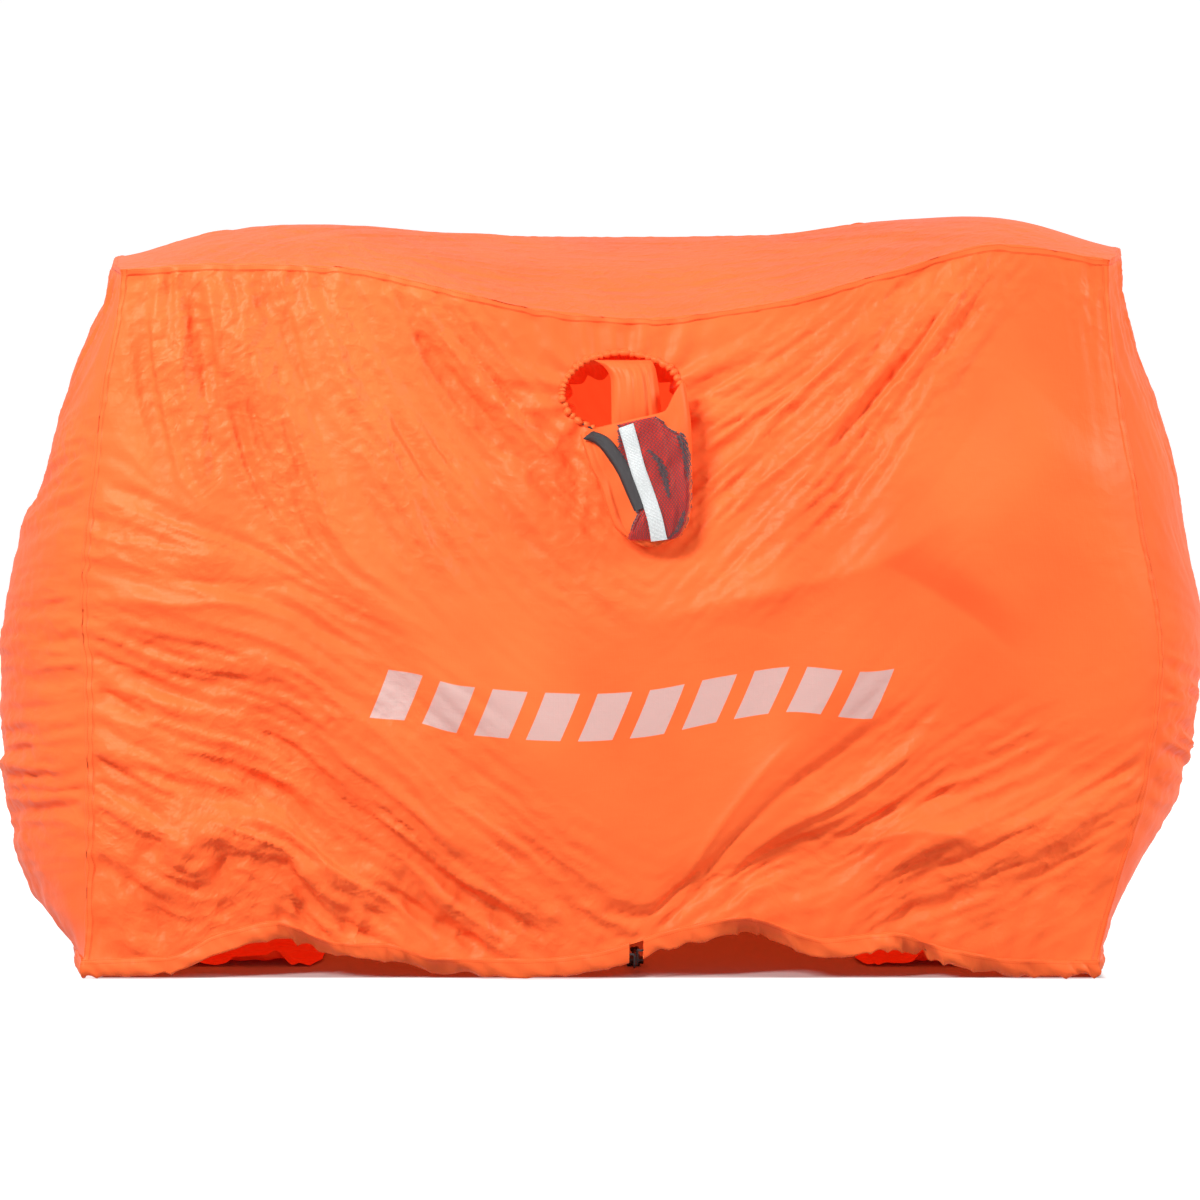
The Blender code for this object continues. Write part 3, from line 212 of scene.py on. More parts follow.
# Single creases: start and end as fractions, sideways bow as a share of the length, half width and
# height in metres.
CREASES = {
    "front": (
        (0.065, 0.985, 0.111, 0.79, 0.05, 0.008, -0.007), (0.083, 0.985, 0.135, 0.8, 0.04, 0.007, 0.0035),
        (0.102, 0.985, 0.177, 0.71, 0.05, 0.009, 0.003), (0.137, 0.98, 0.229, 0.7, 0.05, 0.009, -0.003),
        (0.177, 0.98, 0.297, 0.71, 0.04, 0.01, 0.0035), (0.217, 0.975, 0.364, 0.73, 0.03, 0.009, -0.003),
        (0.258, 0.98, 0.451, 0.715, 0.02, 0.009, -0.0045),
        (0.285, 0.985, 0.462, 0.735, 0.02, 0.007, 0.004),
        (0.308, 0.975, 0.475, 0.75, 0.02, 0.008, -0.005), (0.33, 0.93, 0.45, 0.79, 0.02, 0.006, 0.003),
        (0.002, 0.585, 0.228, 0.505, -0.03, 0.01, -0.004), (0.002, 0.54, 0.2, 0.49, -0.03, 0.009, 0.003),
        (0.002, 0.455, 0.163, 0.37, -0.04, 0.01, -0.0045),
        (0.005, 0.4, 0.062, 0.345, -0.05, 0.008, -0.008), (0.1, 0.37, 0.443, 0.03, -0.05, 0.012, 0.004),
        (0.065, 0.345, 0.37, 0.02, -0.05, 0.01, -0.004), (0.137, 0.33, 0.3, 0.17, -0.04, 0.012, -0.0065),
        (0.3, 0.17, 0.48, 0.02, -0.03, 0.01, -0.005), (0.165, 0.32, 0.49, 0.045, -0.05, 0.01, 0.0045),
        (0.2, 0.32, 0.443, 0.12, -0.04, 0.007, 0.0025), (0.29, 0.085, 0.4, 0.005, 0.04, 0.009, -0.009),
        (0.865, 0.975, 0.7, 0.745, 0.04, 0.006, 0.004), (0.85, 0.97, 0.665, 0.71, 0.04, 0.006, -0.003),
        (0.825, 0.965, 0.63, 0.7, 0.04, 0.006, 0.0035), (0.872, 0.955, 0.72, 0.69, 0.03, 0.006, -0.003),
        (0.8, 0.965, 0.59, 0.67, 0.04, 0.007, -0.003), (0.765, 0.95, 0.61, 0.78, 0.05, 0.006, 0.003),
        (0.75, 0.91, 0.59, 0.81, 0.04, 0.006, 0.003), (0.84, 0.64, 0.5, 0.52, 0.06, 0.03, 0.006),
        (0.58, 0.03, 0.757, 0.36, 0.05, 0.009, -0.004), (0.6, 0.04, 0.81, 0.32, 0.05, 0.008, 0.004),
        (0.62, 0.065, 0.85, 0.23, 0.06, 0.009, -0.004), (0.572, 0.05, 0.665, 0.31, 0.05, 0.007, 0.003),
        (0.73, 0.14, 0.85, 0.155, 0.05, 0.008, 0.004),
    ),
    "rear": (
        (0.08, 0.98, 0.19, 0.6, 0.05, 0.009, -0.005), (0.13, 0.98, 0.28, 0.62, 0.05, 0.009, 0.0045),
        (0.21, 0.98, 0.42, 0.64, 0.04, 0.009, -0.0045), (0.91, 0.98, 0.8, 0.58, -0.05, 0.009, -0.005),
        (0.85, 0.98, 0.7, 0.6, -0.05, 0.009, 0.0045), (0.78, 0.98, 0.6, 0.64, -0.04, 0.009, -0.0045),
        (0.02, 0.42, 0.33, 0.05, -0.05, 0.011, 0.005), (0.04, 0.3, 0.28, 0.02, -0.05, 0.01, -0.005),
        (0.97, 0.4, 0.64, 0.04, 0.05, 0.011, 0.005), (0.96, 0.26, 0.72, 0.02, 0.05, 0.01, -0.005),
    ),
    "left": (
        (0.1, 0.66, 0.85, 0.56, 0.05, 0.01, -0.003), (0.15, 0.3, 0.9, 0.2, 0.05, 0.01, -0.004),
    ),
    "right": (
        (0.15, 0.34, 0.85, 0.2, 0.05, 0.01, -0.004), (0.3, 0.97, 0.55, 0.6, 0.05, 0.01, 0.003),
    ),
    "roof": (
        (0.12, 0.06, 0.34, 0.9, 0.05, 0.009, -0.0035), (0.88, 0.06, 0.62, 0.9, 0.05, 0.009, -0.0035),
    ),
}
CREASE_GAIN = 1.7
# How round a crease's crest is, how fast it rises from its ends, and its height there.
CREASE_CREST = 0.12
CREASE_RISE = 3.5
CREASE_END = 0.05
# How much of the end walls' main folds and of their fine ones shows: their outline is smooth.
END_FOLDS = 0.35
END_DETAIL = 0.45
# How much of the roof's dome and of its main folds shows: thin cloth sags between its seams.
ROOF_STAND = 0.38
# How far the middle of each end stands out further than its solid, up it.
END_TRIM = {
    "left": (
        (0, 0), (0.06, 0.01), (0.2, 0.012), (0.31, 0.012), (0.42, 0.005), (0.51, 0), (0.6, -0.008),
        (0.68, -0.021), (0.78, -0.017), (0.92, -0.016), (1, 0),
    ),
    "right": (
        (0, 0), (0.06, -0.013), (0.26, -0.01), (0.5, -0.003), (0.6, 0), (0.7, 0.006), (0.78, 0.002),
        (0.86, -0.01), (0.93, -0.012), (1, 0),
    ),
}
CORNER_RADIUS = 0.042
CORNER_REACH = 0.12
# Two sets of fine streaks along the pulls: grain and length in grid steps, height in metres.
STREAKS = ((1.1, 22, 0.0018), (2.6, 40, 0.00335))
STREAK_CREST = 0.8
STREAK_LEAST = 0.1
# Streaks of the end walls: strength at their sides, how much less it is in the middle, and reach.
END_STREAKS = (1.7, 1.35, 0.22)
# Facets of crumpled cloth: size and height in metres, least share, and how far their corners stray.
FACET = 0.03
FACET_HEIGHT = 0.017
FACET_BASE = 0.03
FACET_JITTER = 0.42
FACET_MARGIN = 0.05
FINE_FACETS = 0.4
# The share of spare cloth that crumples or streaks fully.
FULL_SPARE = 0.03
# Detail fades out towards the sewn edges over this reach, and starts this far outside the hem.
DETAIL_FADE = 0.016
HEM_DETAIL = 0.004
# Patches that crumple in all directions: middle as fractions, reach and share of spare cloth.
CRUMPLES = {
    "front": ((0.1, 0.1, 0.11, 0.03), (0.22, 0.08, 0.07, 0.025), (0.05, 0.86, 0.06, 0.012),
              (0.94, 0.12, 0.06, 0.014), (0.86, 0.06, 0.05, 0.01)),
    "rear": ((0.12, 0.12, 0.12, 0.03), (0.88, 0.1, 0.12, 0.03)),
    "left": ((0.5, 0.1, 0.14, 0.024), (0.35, 0.84, 0.07, 0.01)),
    "right": ((0.5, 0.12, 0.12, 0.022),),
    "roof": ((0.12, 0.5, 0.1, 0.014),),
}
# Patches that lie smooth: middle as fractions, half width and half height in metres.
SMOOTH = {
    "front": (
        (0.93, 0.66, 0.105, 0.21), (0.82, 0.44, 0.13, 0.085),
        (0.56, 0.36, 0.2, 0.13), (0.58, 0.17, 0.12, 0.07),
    ),
}
# How much of the folds is missing there, and where the edge of such a patch starts and how wide it is.
SMOOTH_MOST = 0.85
SMOOTH_START = 0.7
SMOOTH_FADE = 0.5
# Spare cloth and its reach along the hem, the seams and the vents; inside a vent's rim it ends.
HEM_SPARE = 0.06
HEM_REACH_UP = 0.045
SEAM_SPARE = 0.035
SEAM_PUCKER = 0.018
VENT_SPARE = 0.15
VENT_PUCKER = 0.03
VENT_STILL = 0.02
# Points nearer to a vent's rim line than this share of a grid step move onto it.
RING_CELLS = 0.62
# Rounds that find a place on a wall, and the step as a fraction that shows which way the wall faces.
LOCATE_ROUNDS = 12
VENT_STEP = 0.02

# Where each row of random numbers starts.
SETTLE_SEED = 20
DETAIL_SEED = 40
SEAM_SEED = 70
CASING_SEED = 90
RIM_SEEDS = {"front": 101, "rear": 102}
SLEEVE_SEEDS = {"front": 111, "rear": 112}
SEAT_SEED = 130

# Seams
SEAM_SECTION = (
    (-0.0022, -0.0002), (-0.0019, 0.0005), (-0.0007, 0.0008), (0.0007, 0.0008), (0.0026, 0.0006),
    (0.0048, 0.0007), (0.007, 0.0006), (0.0076, -0.0002),
)
# How far a seam's line strays, and over what length.
SEAM_WOBBLE = 0.0007
SEAM_PITCH = 0.0075
# Each seam: the panel with the wide side and its edge there, then the other panel and its edge.
SEAM_PLACES = {
    "front_left_seam": ("front", "s0", "left", "s0"),
    "front_right_seam": ("front", "s1", "right", "s0"),
    "rear_left_seam": ("rear", "s0", "left", "s1"),
    "rear_right_seam": ("rear", "s1", "right", "s1"),
    "roof_front_seam": ("front", "v1", "roof", "v0"),
    "roof_rear_seam": ("rear", "v1", "roof", "v1"),
    "roof_left_seam": ("left", "v1", "roof", "s0"),
    "roof_right_seam": ("right", "v1", "roof", "s1"),
}
# Points of a seam stand this far apart; its height varies by this share.
SEAM_STEP = 0.0024
SEAM_UNEVEN = 0.4

# Hem casing
# The casing's section: inwards in metres, and up as a share of its height, from the outer top edge.
CASING_SECTION = (
    (-0.001, 1.16), (-0.0014, 1.0), (-0.0019, 0.84), (-0.0024, 0.62), (-0.0024, 0.38), (-0.0018, 0.16),
    (-0.0004, 0.03), (0.0018, 0.0), (0.004, 0.05), (0.0052, 0.25), (0.0052, 0.6), (0.0044, 0.9),
    (0.002, 1.05),
)
# The points of the section whose mean is its middle.
CASING_MIDDLE = (3, 4, 9, 10)
# Where the casing leans: place along the front, how far its lower edge goes in, and reach, in metres.
CASING_LEANS = (
    (-0.44, -0.004, 0.05), (-0.32, 0.018, 0.035), (-0.18, 0.014, 0.05), (0.18, 0.022, 0.04),
    (0.3, -0.005, 0.022), (0.355, 0.016, 0.025), (0.44, 0.01, 0.04), (0.52, -0.003, 0.02),
)
# Its gathers: height, the most that they reach, how far they slant, and where they bunch up.
CASING_GATHER = 0.0026
CASING_PUCKER = 0.0028
CASING_SLANT = 0.016
CASING_KNOTS = ((0.21, 0.03), (0.37, 0.02), (0.53, 0.018), (-0.32, 0.02))
CASING_KNOT_GAIN = 1.8
# The front of the hem starts here, with this fade, and is free of gathers round the cord gap.
CASING_FRONT = 0.2
CASING_FRONT_FADE = 0.02
CASING_CLEAR = 0.02
# Its waves: share of the gathers and length in metres, then the length of the lifts of its lower edge.
CASING_WAVES = ((0.8, 0.019), (0.6, 0.008))
CASING_LIFT_PITCH = 0.017
# The inner face shows the outer one's folds the other way round, and weaker.
CASING_INNER = -0.3

# Vents
# Steps round each ring, and round or along its cloth.
RIM_STEPS = (460, 16)
SLEEVE_STEPS = (320, 22)
ELASTIC_STEPS = 160
ELASTIC_RADIUS = 0.0011
RIM_PLEATS = 47
# The rim's thickness as shares of its radius: least, the pleats' part, and each pleat's own part.
RIM_FORM = (0.44, 0.34, 0.06)
# How far each pleat strays, away from the ring and outwards.
RIM_STRAY = (0.0006, 0.0008)
SLEEVE_PLEATS = (52, 13)
# Depth of a sleeve's fine and broad pleats, how far they lean, and how far its top sags, in metres.
SLEEVE_FINE = 0.0018
SLEEVE_BROAD = 0.008
SLEEVE_LEAN = 0.0012
SLEEVE_SAG = 0.014

# Stuff sack
# Steps across and down each piece.
SACK_STEPS = (128, 72)
POCKET_STEPS = (64, 90)
NECK_STEPS = (56, 60)
BAND_STEPS = 90
# Both sides of the sack in metres, down it.
SACK_LEFT = (
    (0, -0.022), (0.24, -0.015), (0.38, -0.01), (0.52, -0.001), (0.7, 0.0067), (0.87, 0.0167), (1, 0.034),
)
SACK_RIGHT = ((0, 0.094), (0.25, 0.1005), (0.6, 0.1015), (0.8, 0.099), (0.91, 0.092), (1, 0.08))
# How far the sack's upper edge stands over its mouth line, across it.
SACK_EDGE = (
    (-1, -0.04), (-0.4, -0.03), (0.1, -0.019), (0.42, -0.012), (0.6, 0.008), (0.8, 0.019), (1, 0.016),
)
# Its length, and the height of its slack folds.
SACK_DROP = 0.162
SACK_FOLD = 0.0014
# Sharp folds down the sack: across it at the top and the bottom, half width and height in metres.
SACK_FOLDS = (
    (-0.66, -0.5, 0.085, -0.005), (-0.88, -0.78, 0.06, 0.0035), (-0.46, -0.72, 0.06, 0.003),
    (0.93, 0.9, 0.045, -0.003), (0.3, 0.52, 0.08, -0.0026), (0.55, 0.62, 0.06, 0.0022),
    (-0.05, 0.16, 0.05, -0.0016),
)
# The pocket's left and right sides in metres, down the sack.
POCKET_LEFT = (
    (0, 0.0185), (0.18, 0.02), (0.43, 0.0205), (0.52, 0.029), (0.62, 0.0365), (0.75, 0.04),
    (0.87, 0.0345), (0.94, 0.031), (1, 0.037),
)
POCKET_RIGHT = (
    (0, 0.06), (0.1, 0.071), (0.18, 0.081), (0.3, 0.093), (0.48, 0.0978), (0.68, 0.0985),
    (0.82, 0.0945), (0.92, 0.086), (1, 0.06),
)
POCKET_TOP = 0.018
POCKET_LOW = 0.952
POCKET_SCALLOP = 0.0012
POCKET_CRUMPLE = 0.001
POCKET_EDGE = 0.0006
POCKET_PROUD = 0.0014
WEBBING_WIDTH = 0.016
WEBBING_PROUD = 0.005
# Middle lines of the webbing and the label: place across in metres and fraction down the sack.
WEBBING_LINE = (
    (0.0289, 0.045), (0.035, 0.225), (0.041, 0.405), (0.048, 0.55), (0.0545, 0.68), (0.0605, 0.82),
    (0.064, 0.95),
)
LABEL_LINE = (
    (-0.0105, 0.055), (0.0045, 0.15), (0.018, 0.31), (0.029, 0.46), (0.037, 0.6), (0.045, 0.73),
)
LABEL_WIDTH = 0.014
LABEL_PROUD = 0.0042
LABEL_CURL = 0.003
NET_PITCH = 0.0027
NET_STRAND = 0.0005
# How far in from its sides the net is doubled, across the sack.
NET_EDGE = 0.04
# Folds of doubled net: fractions down and places across, and width, in metres.
NET_FOLDS = (
    (((0.25, 0.05), (0.42, 0.066), (0.66, 0.074)), 0.0085),
    (((0.2, 0.082), (0.38, 0.091), (0.56, 0.094)), 0.007),
    (((0.3, 0.026), (0.55, 0.037), (0.74, 0.046)), 0.008),
    (((0.74, 0.09), (0.86, 0.084), (0.95, 0.072)), 0.006),
)
# Strands: half the sack's width and their reach across it, slope, steps down, and heights in metres.
NET_HALF = 0.056
NET_REACH = 3.2
NET_SLOPE = 0.55
NET_STEP = 0.012
NET_HEAVIER = 1.6
NET_PROUD = 0.003
NET_LAYER = 0.0008
NET_WEAVE = 0.0003
# Half the sack's front and the length of a band, as their cloth measures them.
SACK_HALF = 0.05
BAND_LENGTH = 0.13
# A band's section: across it as a share of its width, and up.
BAND_SECTION = ((-0.5, 0.0), (-0.46, 1.0), (-0.2, 1.05), (0.2, 1.05), (0.46, 1.0), (0.5, 0.0))
# From inside the vent over its rim to the pocket: fraction, behind the hinge, and under it.
NECK_Y = ((0, 0.02), (0.16, 0.002), (0.34, -0.013), (0.6, -0.0215), (0.82, -0.025), (1, -0.024))
NECK_Z = ((0, -0.014), (0.16, -0.0085), (0.34, -0.0145), (0.6, -0.036), (0.82, -0.066), (1, -0.098))
NECK_LEFT = ((0, -0.016), (0.2, -0.006), (0.36, 0.004), (0.55, 0.012), (1, 0.013))
NECK_RIGHT = ((0, 0.052), (0.25, 0.058), (0.5, 0.063), (1, 0.07))
# Its length, how far its middle bulges, its sides curl in and its gathers rise.
NECK_LENGTH = 0.09
NECK_ARCH = 0.006
NECK_SIDES = 0.012
NECK_GATHERS = 0.0008
# Folds of the neck: height in metres, place across it, how that place moves down it, and half width.
NECK_FOLDS = ((0.003, 0.38, 0.15, 0.09), (-0.0022, -0.1, -0.2, 0.16), (0.0016, -0.62, 0.0, 0.08))

# Seats
# Steps across and along, height off the ground, and the heights of its waves, grain and rumpled front.
SEAT_STEPS = (96, 78)
SEAT_LIFT = 0.0022
SEAT_WAVES = 0.0015
SEAT_GRAIN = 0.0004
SEAT_RUMPLE = 0.015
SEAT_RUMPLE_REACH = 0.014

# What each piece was cut to before it was sewn, in metres.
PANEL_CUTS = {
    "front": (1.2, 0.82), "rear": (1.2, 0.85), "left": (0.58, 0.83), "right": (0.55, 0.8),
    "roof": (1.16, 0.46),
}
PANEL_SEAMS = {
    "front": ("front_left_seam", "front_right_seam", "roof_front_seam"),
    "rear": ("rear_left_seam", "rear_right_seam", "roof_rear_seam"),
    "left": (), "right": (), "roof": ("roof_left_seam", "roof_right_seam"),
}

# Fine wrinkles of the relief: how many a metre and how deep, and their share where the cloth lies smooth.
CREASE_SIZES = ((26.0, 0.007), (70.0, 0.0022))
CREASE_LEAST = 0.14
ROOF_CREASES = 0.8
# The share of crumpling and of pull that wrinkles the cloth fully.
FULL_CRUMPLE = 0.025
FULL_PULL = 0.05
# How the wrinkles are bent: waves a metre, and how far in metres.
WARP_WAVES = 9.0
WARP = (0.045, 0.045, 0.0)
RIPSTOP_PITCH = 0.005
RIPSTOP_SHADE = 0.06
GRAIN_HEIGHT = 0.00004

# Nylon: how dark and light it gets, its roughness, its sheen and how much light comes through.
NYLON_DARK = 0.9
NYLON_LIGHT = 1.1
NYLON_ROUGH = (0.4, 0.48)
NYLON_SPECULAR = 0.24
NYLON_SHEEN = (1.0, 0.66, 0.46)
NYLON_THROUGH = 0.22
ORANGE = ((1.0, 0.163, 0.04), (1.0, 0.13, 0.03))
# A slightly darker, redder copy of the orange for the cloth inside the shelter: painted shade.
SHADED_INNER_ORANGE = ((1.0, 0.15, 0.036), (1.0, 0.12, 0.03))
RED = ((0.66, 0.034, 0.026), (0.7, 0.04, 0.03))

# Small goods: waves of their grain a metre, how dark their grain and the painted shade in their grooves
# get, and how far their roughness varies.
GOODS_GRAIN = 700.0
GOODS_DARK = 0.7
GOODS_SPREAD = 0.06
GOODS = {
    "black_mesh": dict(colour=(0.05, 0.036, 0.042), rough=0.7),
    "reflective_webbing": dict(colour=(0.74, 0.77, 0.77), rough=0.4, pitch=0.0015, deep=0.0002),
    "black_label": dict(colour=(0.014, 0.009, 0.011), rough=0.5, pitch=0.0007, slant=0.6, deep=0.00004),
    "elastic": dict(colour=(0.03, 0.03, 0.03), rough=0.8, pitch=0.001, deep=0.0001),
    "cord": dict(colour=(0.018, 0.018, 0.02), rough=0.65, pitch=0.0017, slant=1.0, deep=0.00012),
    "lock_plastic": dict(colour=(0.016, 0.016, 0.018), rough=0.42, mapped=False),
    "spring_steel": dict(colour=(0.52, 0.52, 0.54), rough=0.28, metallic=1.0, mapped=False),
}

# Stitches: pitch, both rows' distance from the seam, and where a stitch and its thread end.
STITCH_PITCH = 0.0028
STITCH_ROWS = (0.0012, 0.006)
STITCH_ENDS = (0.42, 0.34)
STITCH_SIDES = (0.0005, 0.00025)
STITCH_COLOUR = (0.8, 0.085, 0.02)

# The printed band on the front, in metres from the panel's lower left corner.
PRINT_LEFT = 0.29
PRINT_WIDE = 0.548
PRINT_LOW = 0.262
PRINT_HIGH = 0.318
PRINT_PITCH = 0.0548
PRINT_BAR = 0.33
PRINT_SLANT = 0.35
PRINT_GREY = (0.52, 0.43, 0.4)
PRINT_COVER = 0.97
# How soft the edges of the bars, as a share of their pitch, and of the band in metres are.
PRINT_SOFT = 0.008
PRINT_EDGE = 0.0005

# Camera, lamps and studio
CAMERA_AWAY = 4.0
CAMERA_RISE = 4.0
CAMERA_AIM = 0.405
CAMERA_LENS = 102.1
CAMERA_SENSOR = 36
CAMERA_REACH = 60
# Each lamp: place, what it points at, width and power.
LAMPS = {
    "key": ((-2.1, -2.3, 2.2), (0, 0, 0.4), 0.6, 68),
    "fill": ((3.1, -1.4, 2.0), (0.2, 0, 0.55), 1.0, 104),
    "high": ((-1.0, -1.7, 1.9), (-0.1, -0.2, 0.72), 0.45, 44),
    "top": ((0.2, 0.4, 3.6), (0, 0, 0.4), 2.2, 3),
    "back": ((-0.6, 2.6, 0.6), (0, 0, 0.4), 0.8, 55),
}
# The world lights things this strongly, and is white where it is seen.
WORLD_LIGHT = 0.24
WHITE = (1.0, 1.0, 1.0)
# The floor: its front and rear ends, half its width, the radius of its bend, and how high it goes up.
FLOOR_FRONT = -9
FLOOR_REAR = 3
FLOOR_HALF = 12
FLOOR_BEND = 2.5
FLOOR_TOP = 9
FLOOR_GREY = (0.36, 0.36, 0.36)
FLOOR_ROUGH = 0.9
# Its own light, which leaves out the floor inside the hem, with an edge between these distances.
FLOOR_LIFT = 0.85
FLOOR_EDGE = (-0.016, -0.004)


# Skin formula

def follow(knots, t):
    """A smooth curve through pairs of a fraction and a value, which doesn't overshoot them."""
    x, y = np.array(knots, float).T
    rises = np.diff(y) / np.diff(x)
    before, after = rises[:-1], rises[1:]
    both = np.where(before * after > 0, before + after, 1.0)
    inner = np.where(before * after > 0, 2 * before * after / both, 0.0)
    slopes = np.concatenate(([rises[0]], inner, [rises[-1]]))
    t = np.clip(t, x[0], x[-1])
    k = np.clip(np.searchsorted(x, t, side="left") - 1, 0, len(x) - 2)
    step = x[k + 1] - x[k]
    h = (t - x[k]) / step
    return (
        y[k] * (1 + 2 * h) * (1 - h) ** 2 + slopes[k] * step * h * (1 - h) ** 2
        + y[k + 1] * h * h * (3 - 2 * h) + slopes[k + 1] * step * h * h * (h - 1)
    )


def ease(x):
    """A soft step from 0 to 1."""
    x = np.clip(x, 0.0, 1.0)
    return x * x * (3 - 2 * x)


def bell(x, reach):
    """1 at 0, and fading out over the reach."""
    return np.exp(-((x / reach) ** 2))


def circle(count):
    return np.linspace(0, 2 * math.pi, count, endpoint=False)


def tall(wall):
    return ROOF_DEPTH if wall == "roof" else WALL_HEIGHT


def corner(side, face, v):
    """Plan position of a corner seam: side -1 left or 1 right, face -1 front or 1 rear."""
    reach = HEM_REACH + follow(LEFT_CORNER if side < 0 else RIGHT_CORNER, v)
    return np.stack((side * reach, face * (HEM_DEPTH / 2 - follow(DEPTH_IN, v))), -1)


def seam_height(wall, s):
    if wall == "front":
        return SEAM_HEIGHT + follow(FRONT_SEAM, s)
    if wall == "rear":
        return SEAM_HEIGHT + follow(REAR_SEAM, s)
    end = 0 if wall == "left" else -1
    rise = FRONT_SEAM[end][1] * (1 - s) + REAR_SEAM[end][1] * s
    return SEAM_HEIGHT + rise + END_SEAM_RISE * 4 * s * (1 - s)


def hem_lift(wall, s):
    if wall == "front":
        return np.maximum(0.0, follow(FRONT_LIFT, s))
    if wall == "rear":
        return np.maximum(0.0, follow(REAR_LIFT, s))
    return np.zeros_like(s)


def bare_wall(wall, s, v):
    """A wall's outer surface without its folds, and its outward way in plan."""
    s, v = np.broadcast_arrays(np.asarray(s, float), np.asarray(v, float))
    if wall in ("front", "rear"):
        face = -1 if wall == "front" else 1
        plan = corner(-1, face, v) * (1 - s[..., None]) + corner(1, face, v) * s[..., None]
        belly = np.sin(math.pi * s) * np.sin(math.pi * np.minimum(1, v * 1.1 + 0.15))
        plan[..., 1] += face * WALL_BELLY * belly
        out = np.array((0.0, face, 0.0))
    else:
        side = -1 if wall == "left" else 1
        plan = corner(side, -1, v) * (1 - s[..., None]) + corner(side, 1, v) * s[..., None]
        bulge = follow(LEFT_BULGE if side < 0 else RIGHT_BULGE, v)
        plan[..., 0] += side * bulge * (1 - np.abs(2 * s - 1) ** BULGE_POWER)
        out = np.array((side, 0.0, 0.0))
    low = hem_lift(wall, s) + CASING_HEIGHT + GAP
    height = low + (seam_height(wall, s) - low) * v
    return np.concatenate((plan, height[..., None]), -1), out


def fold_height(wall, s, v):
    """How far the main folds lift the cloth."""
    wide, high = SPAN[wall], tall(wall)
    total = np.zeros(np.broadcast(s, v).shape)
    for s0, v0, s1, v1, half_width, height in FOLDS[wall]:
        along, away = beside_line(wall, s, v, s0, v0, s1, v1)
        total += height * bell(away, half_width) * ease(4 * np.minimum(along, 1 - along) + 0.3)
    edges = ease(np.minimum(s, 1 - s) * wide / FOLD_FADE) * ease((1 - v) * high / FOLD_FADE)
    if wall == "roof":
        edges = edges * ease(v * high / FOLD_FADE)
    return total * edges


def beside_line(wall, s, v, s0, v0, s1, v1):
    """Fraction along a line on a wall, and distance from it in metres."""
    size = np.array((SPAN[wall], tall(wall)))
    start = np.array((s0, v0)) * size
    run = np.array((s1, v1)) * size - start
    here = np.stack(np.broadcast_arrays(s, v), -1) * size - start
    along = np.clip(here @ run / (run @ run), 0.0, 1.0)
    away = np.linalg.norm(here - along[..., None] * run, axis=-1)
    return along, away


def calm(wall, point):
    """0 where a vent needs flat cloth, 1 away from it."""
    if wall not in VENT_PLACES:
        return np.ones(point.shape[:-1])
    x, z = VENT_PLACES[wall]
    across = (point[..., 0] - x) / CALM_HALF_WIDTH
    along = (point[..., 2] - z + CALM_DROP) / CALM_HALF_HEIGHT
    return ease((np.hypot(across, along) - CALM_START) / CALM_FADE)


def wall_point(wall, s, v):
    point, out = bare_wall(wall, s, v)
    share = END_FOLDS if wall in ("left", "right") else 1.0
    return point + out * (share * fold_height(wall, s, v) * calm(wall, point))[..., None]


def roof_point(s, t):
    """The roof between its four seams, from front (0) to rear (1), with its dome and folds."""
    s, t = np.broadcast_arrays(np.asarray(s, float), np.asarray(t, float))
    front, rear = bare_wall("front", s, 1.0)[0], bare_wall("rear", s, 1.0)[0]
    left, right = bare_wall("left", t, 1.0)[0], bare_wall("right", t, 1.0)[0]
    S, T = s[..., None], t[..., None]
    low = bare_wall("front", 0, 1)[0] * (1 - S) + bare_wall("front", 1, 1)[0] * S
    high = bare_wall("rear", 0, 1)[0] * (1 - S) + bare_wall("rear", 1, 1)[0] * S
    point = front * (1 - T) + rear * T + left * (1 - S) + right * S - low * (1 - T) - high * T
    peaks = 0.45 + 0.55 * np.abs(np.cos(math.pi * s)) ** 1.5
    point[..., 2] += ROOF_STAND * ROOF_DOME * peaks * 4 * t * (1 - t) * ease(6 * np.minimum(s, 1 - s))
    point[..., 2] += ROOF_STAND * fold_height("roof", s, t)
    return point


def locate(wall, x, drop):
    """Fractions along and up a wall of the point at x, drop metres under the roof seam."""
    s, v = np.array(0.5), np.array(0.8)
    for _ in range(LOCATE_ROUNDS):
        low = hem_lift(wall, s) + CASING_HEIGHT + GAP
        top = seam_height(wall, s)
        v = (top - drop - low) / (top - low)
        ends = bare_wall(wall, 0, v)[0][..., 0], bare_wall(wall, 1, v)[0][..., 0]
        s = (x - ends[0]) / (ends[1] - ends[0])
    return s, v


VENT_PLACES = {wall: bare_wall(wall, *locate(wall, *at))[0][[0, 2]] for wall, at in VENTS.items()}


def surface(part, s, v):
    return roof_point(s, v) if part == "roof" else wall_point(part, s, v)


def vent_frame(wall):
    """Centre, across, up and outward ways of a vent on its wall."""
    s, v = locate(wall, *VENTS[wall])
    step = VENT_STEP
    centre = wall_point(wall, s, v)
    along = wall_point(wall, s + step, v) - wall_point(wall, s - step, v)
    rise = wall_point(wall, s, v + step) - wall_point(wall, s, v - step)
    out = np.cross(along, rise)
    out /= np.linalg.norm(out) * (-1 if wall == "rear" else 1)
    up = np.array((0, 0, 1)) - out * out[2]
    up /= np.linalg.norm(up)
    across = np.array((1, 0, 0)) - out * out[0]
    across -= up * (across @ up)
    across /= np.linalg.norm(across)
    return centre, across, up, out


def vent_place(wall, points):
    """Points in a vent's own frame, across, up and outward, from the middle of its oval."""
    centre, across, up, out = vent_frame(wall)
    middle = centre + up * VENT_RING * (1 - VENT_SQUASH)
    return (points - middle) @ np.stack((across, up, out)).T


def vent_share(place):
    """Distance from a vent's middle as a share of the way to its rim."""
    return np.hypot(place[..., 0], place[..., 1] / VENT_SQUASH) / VENT_RING


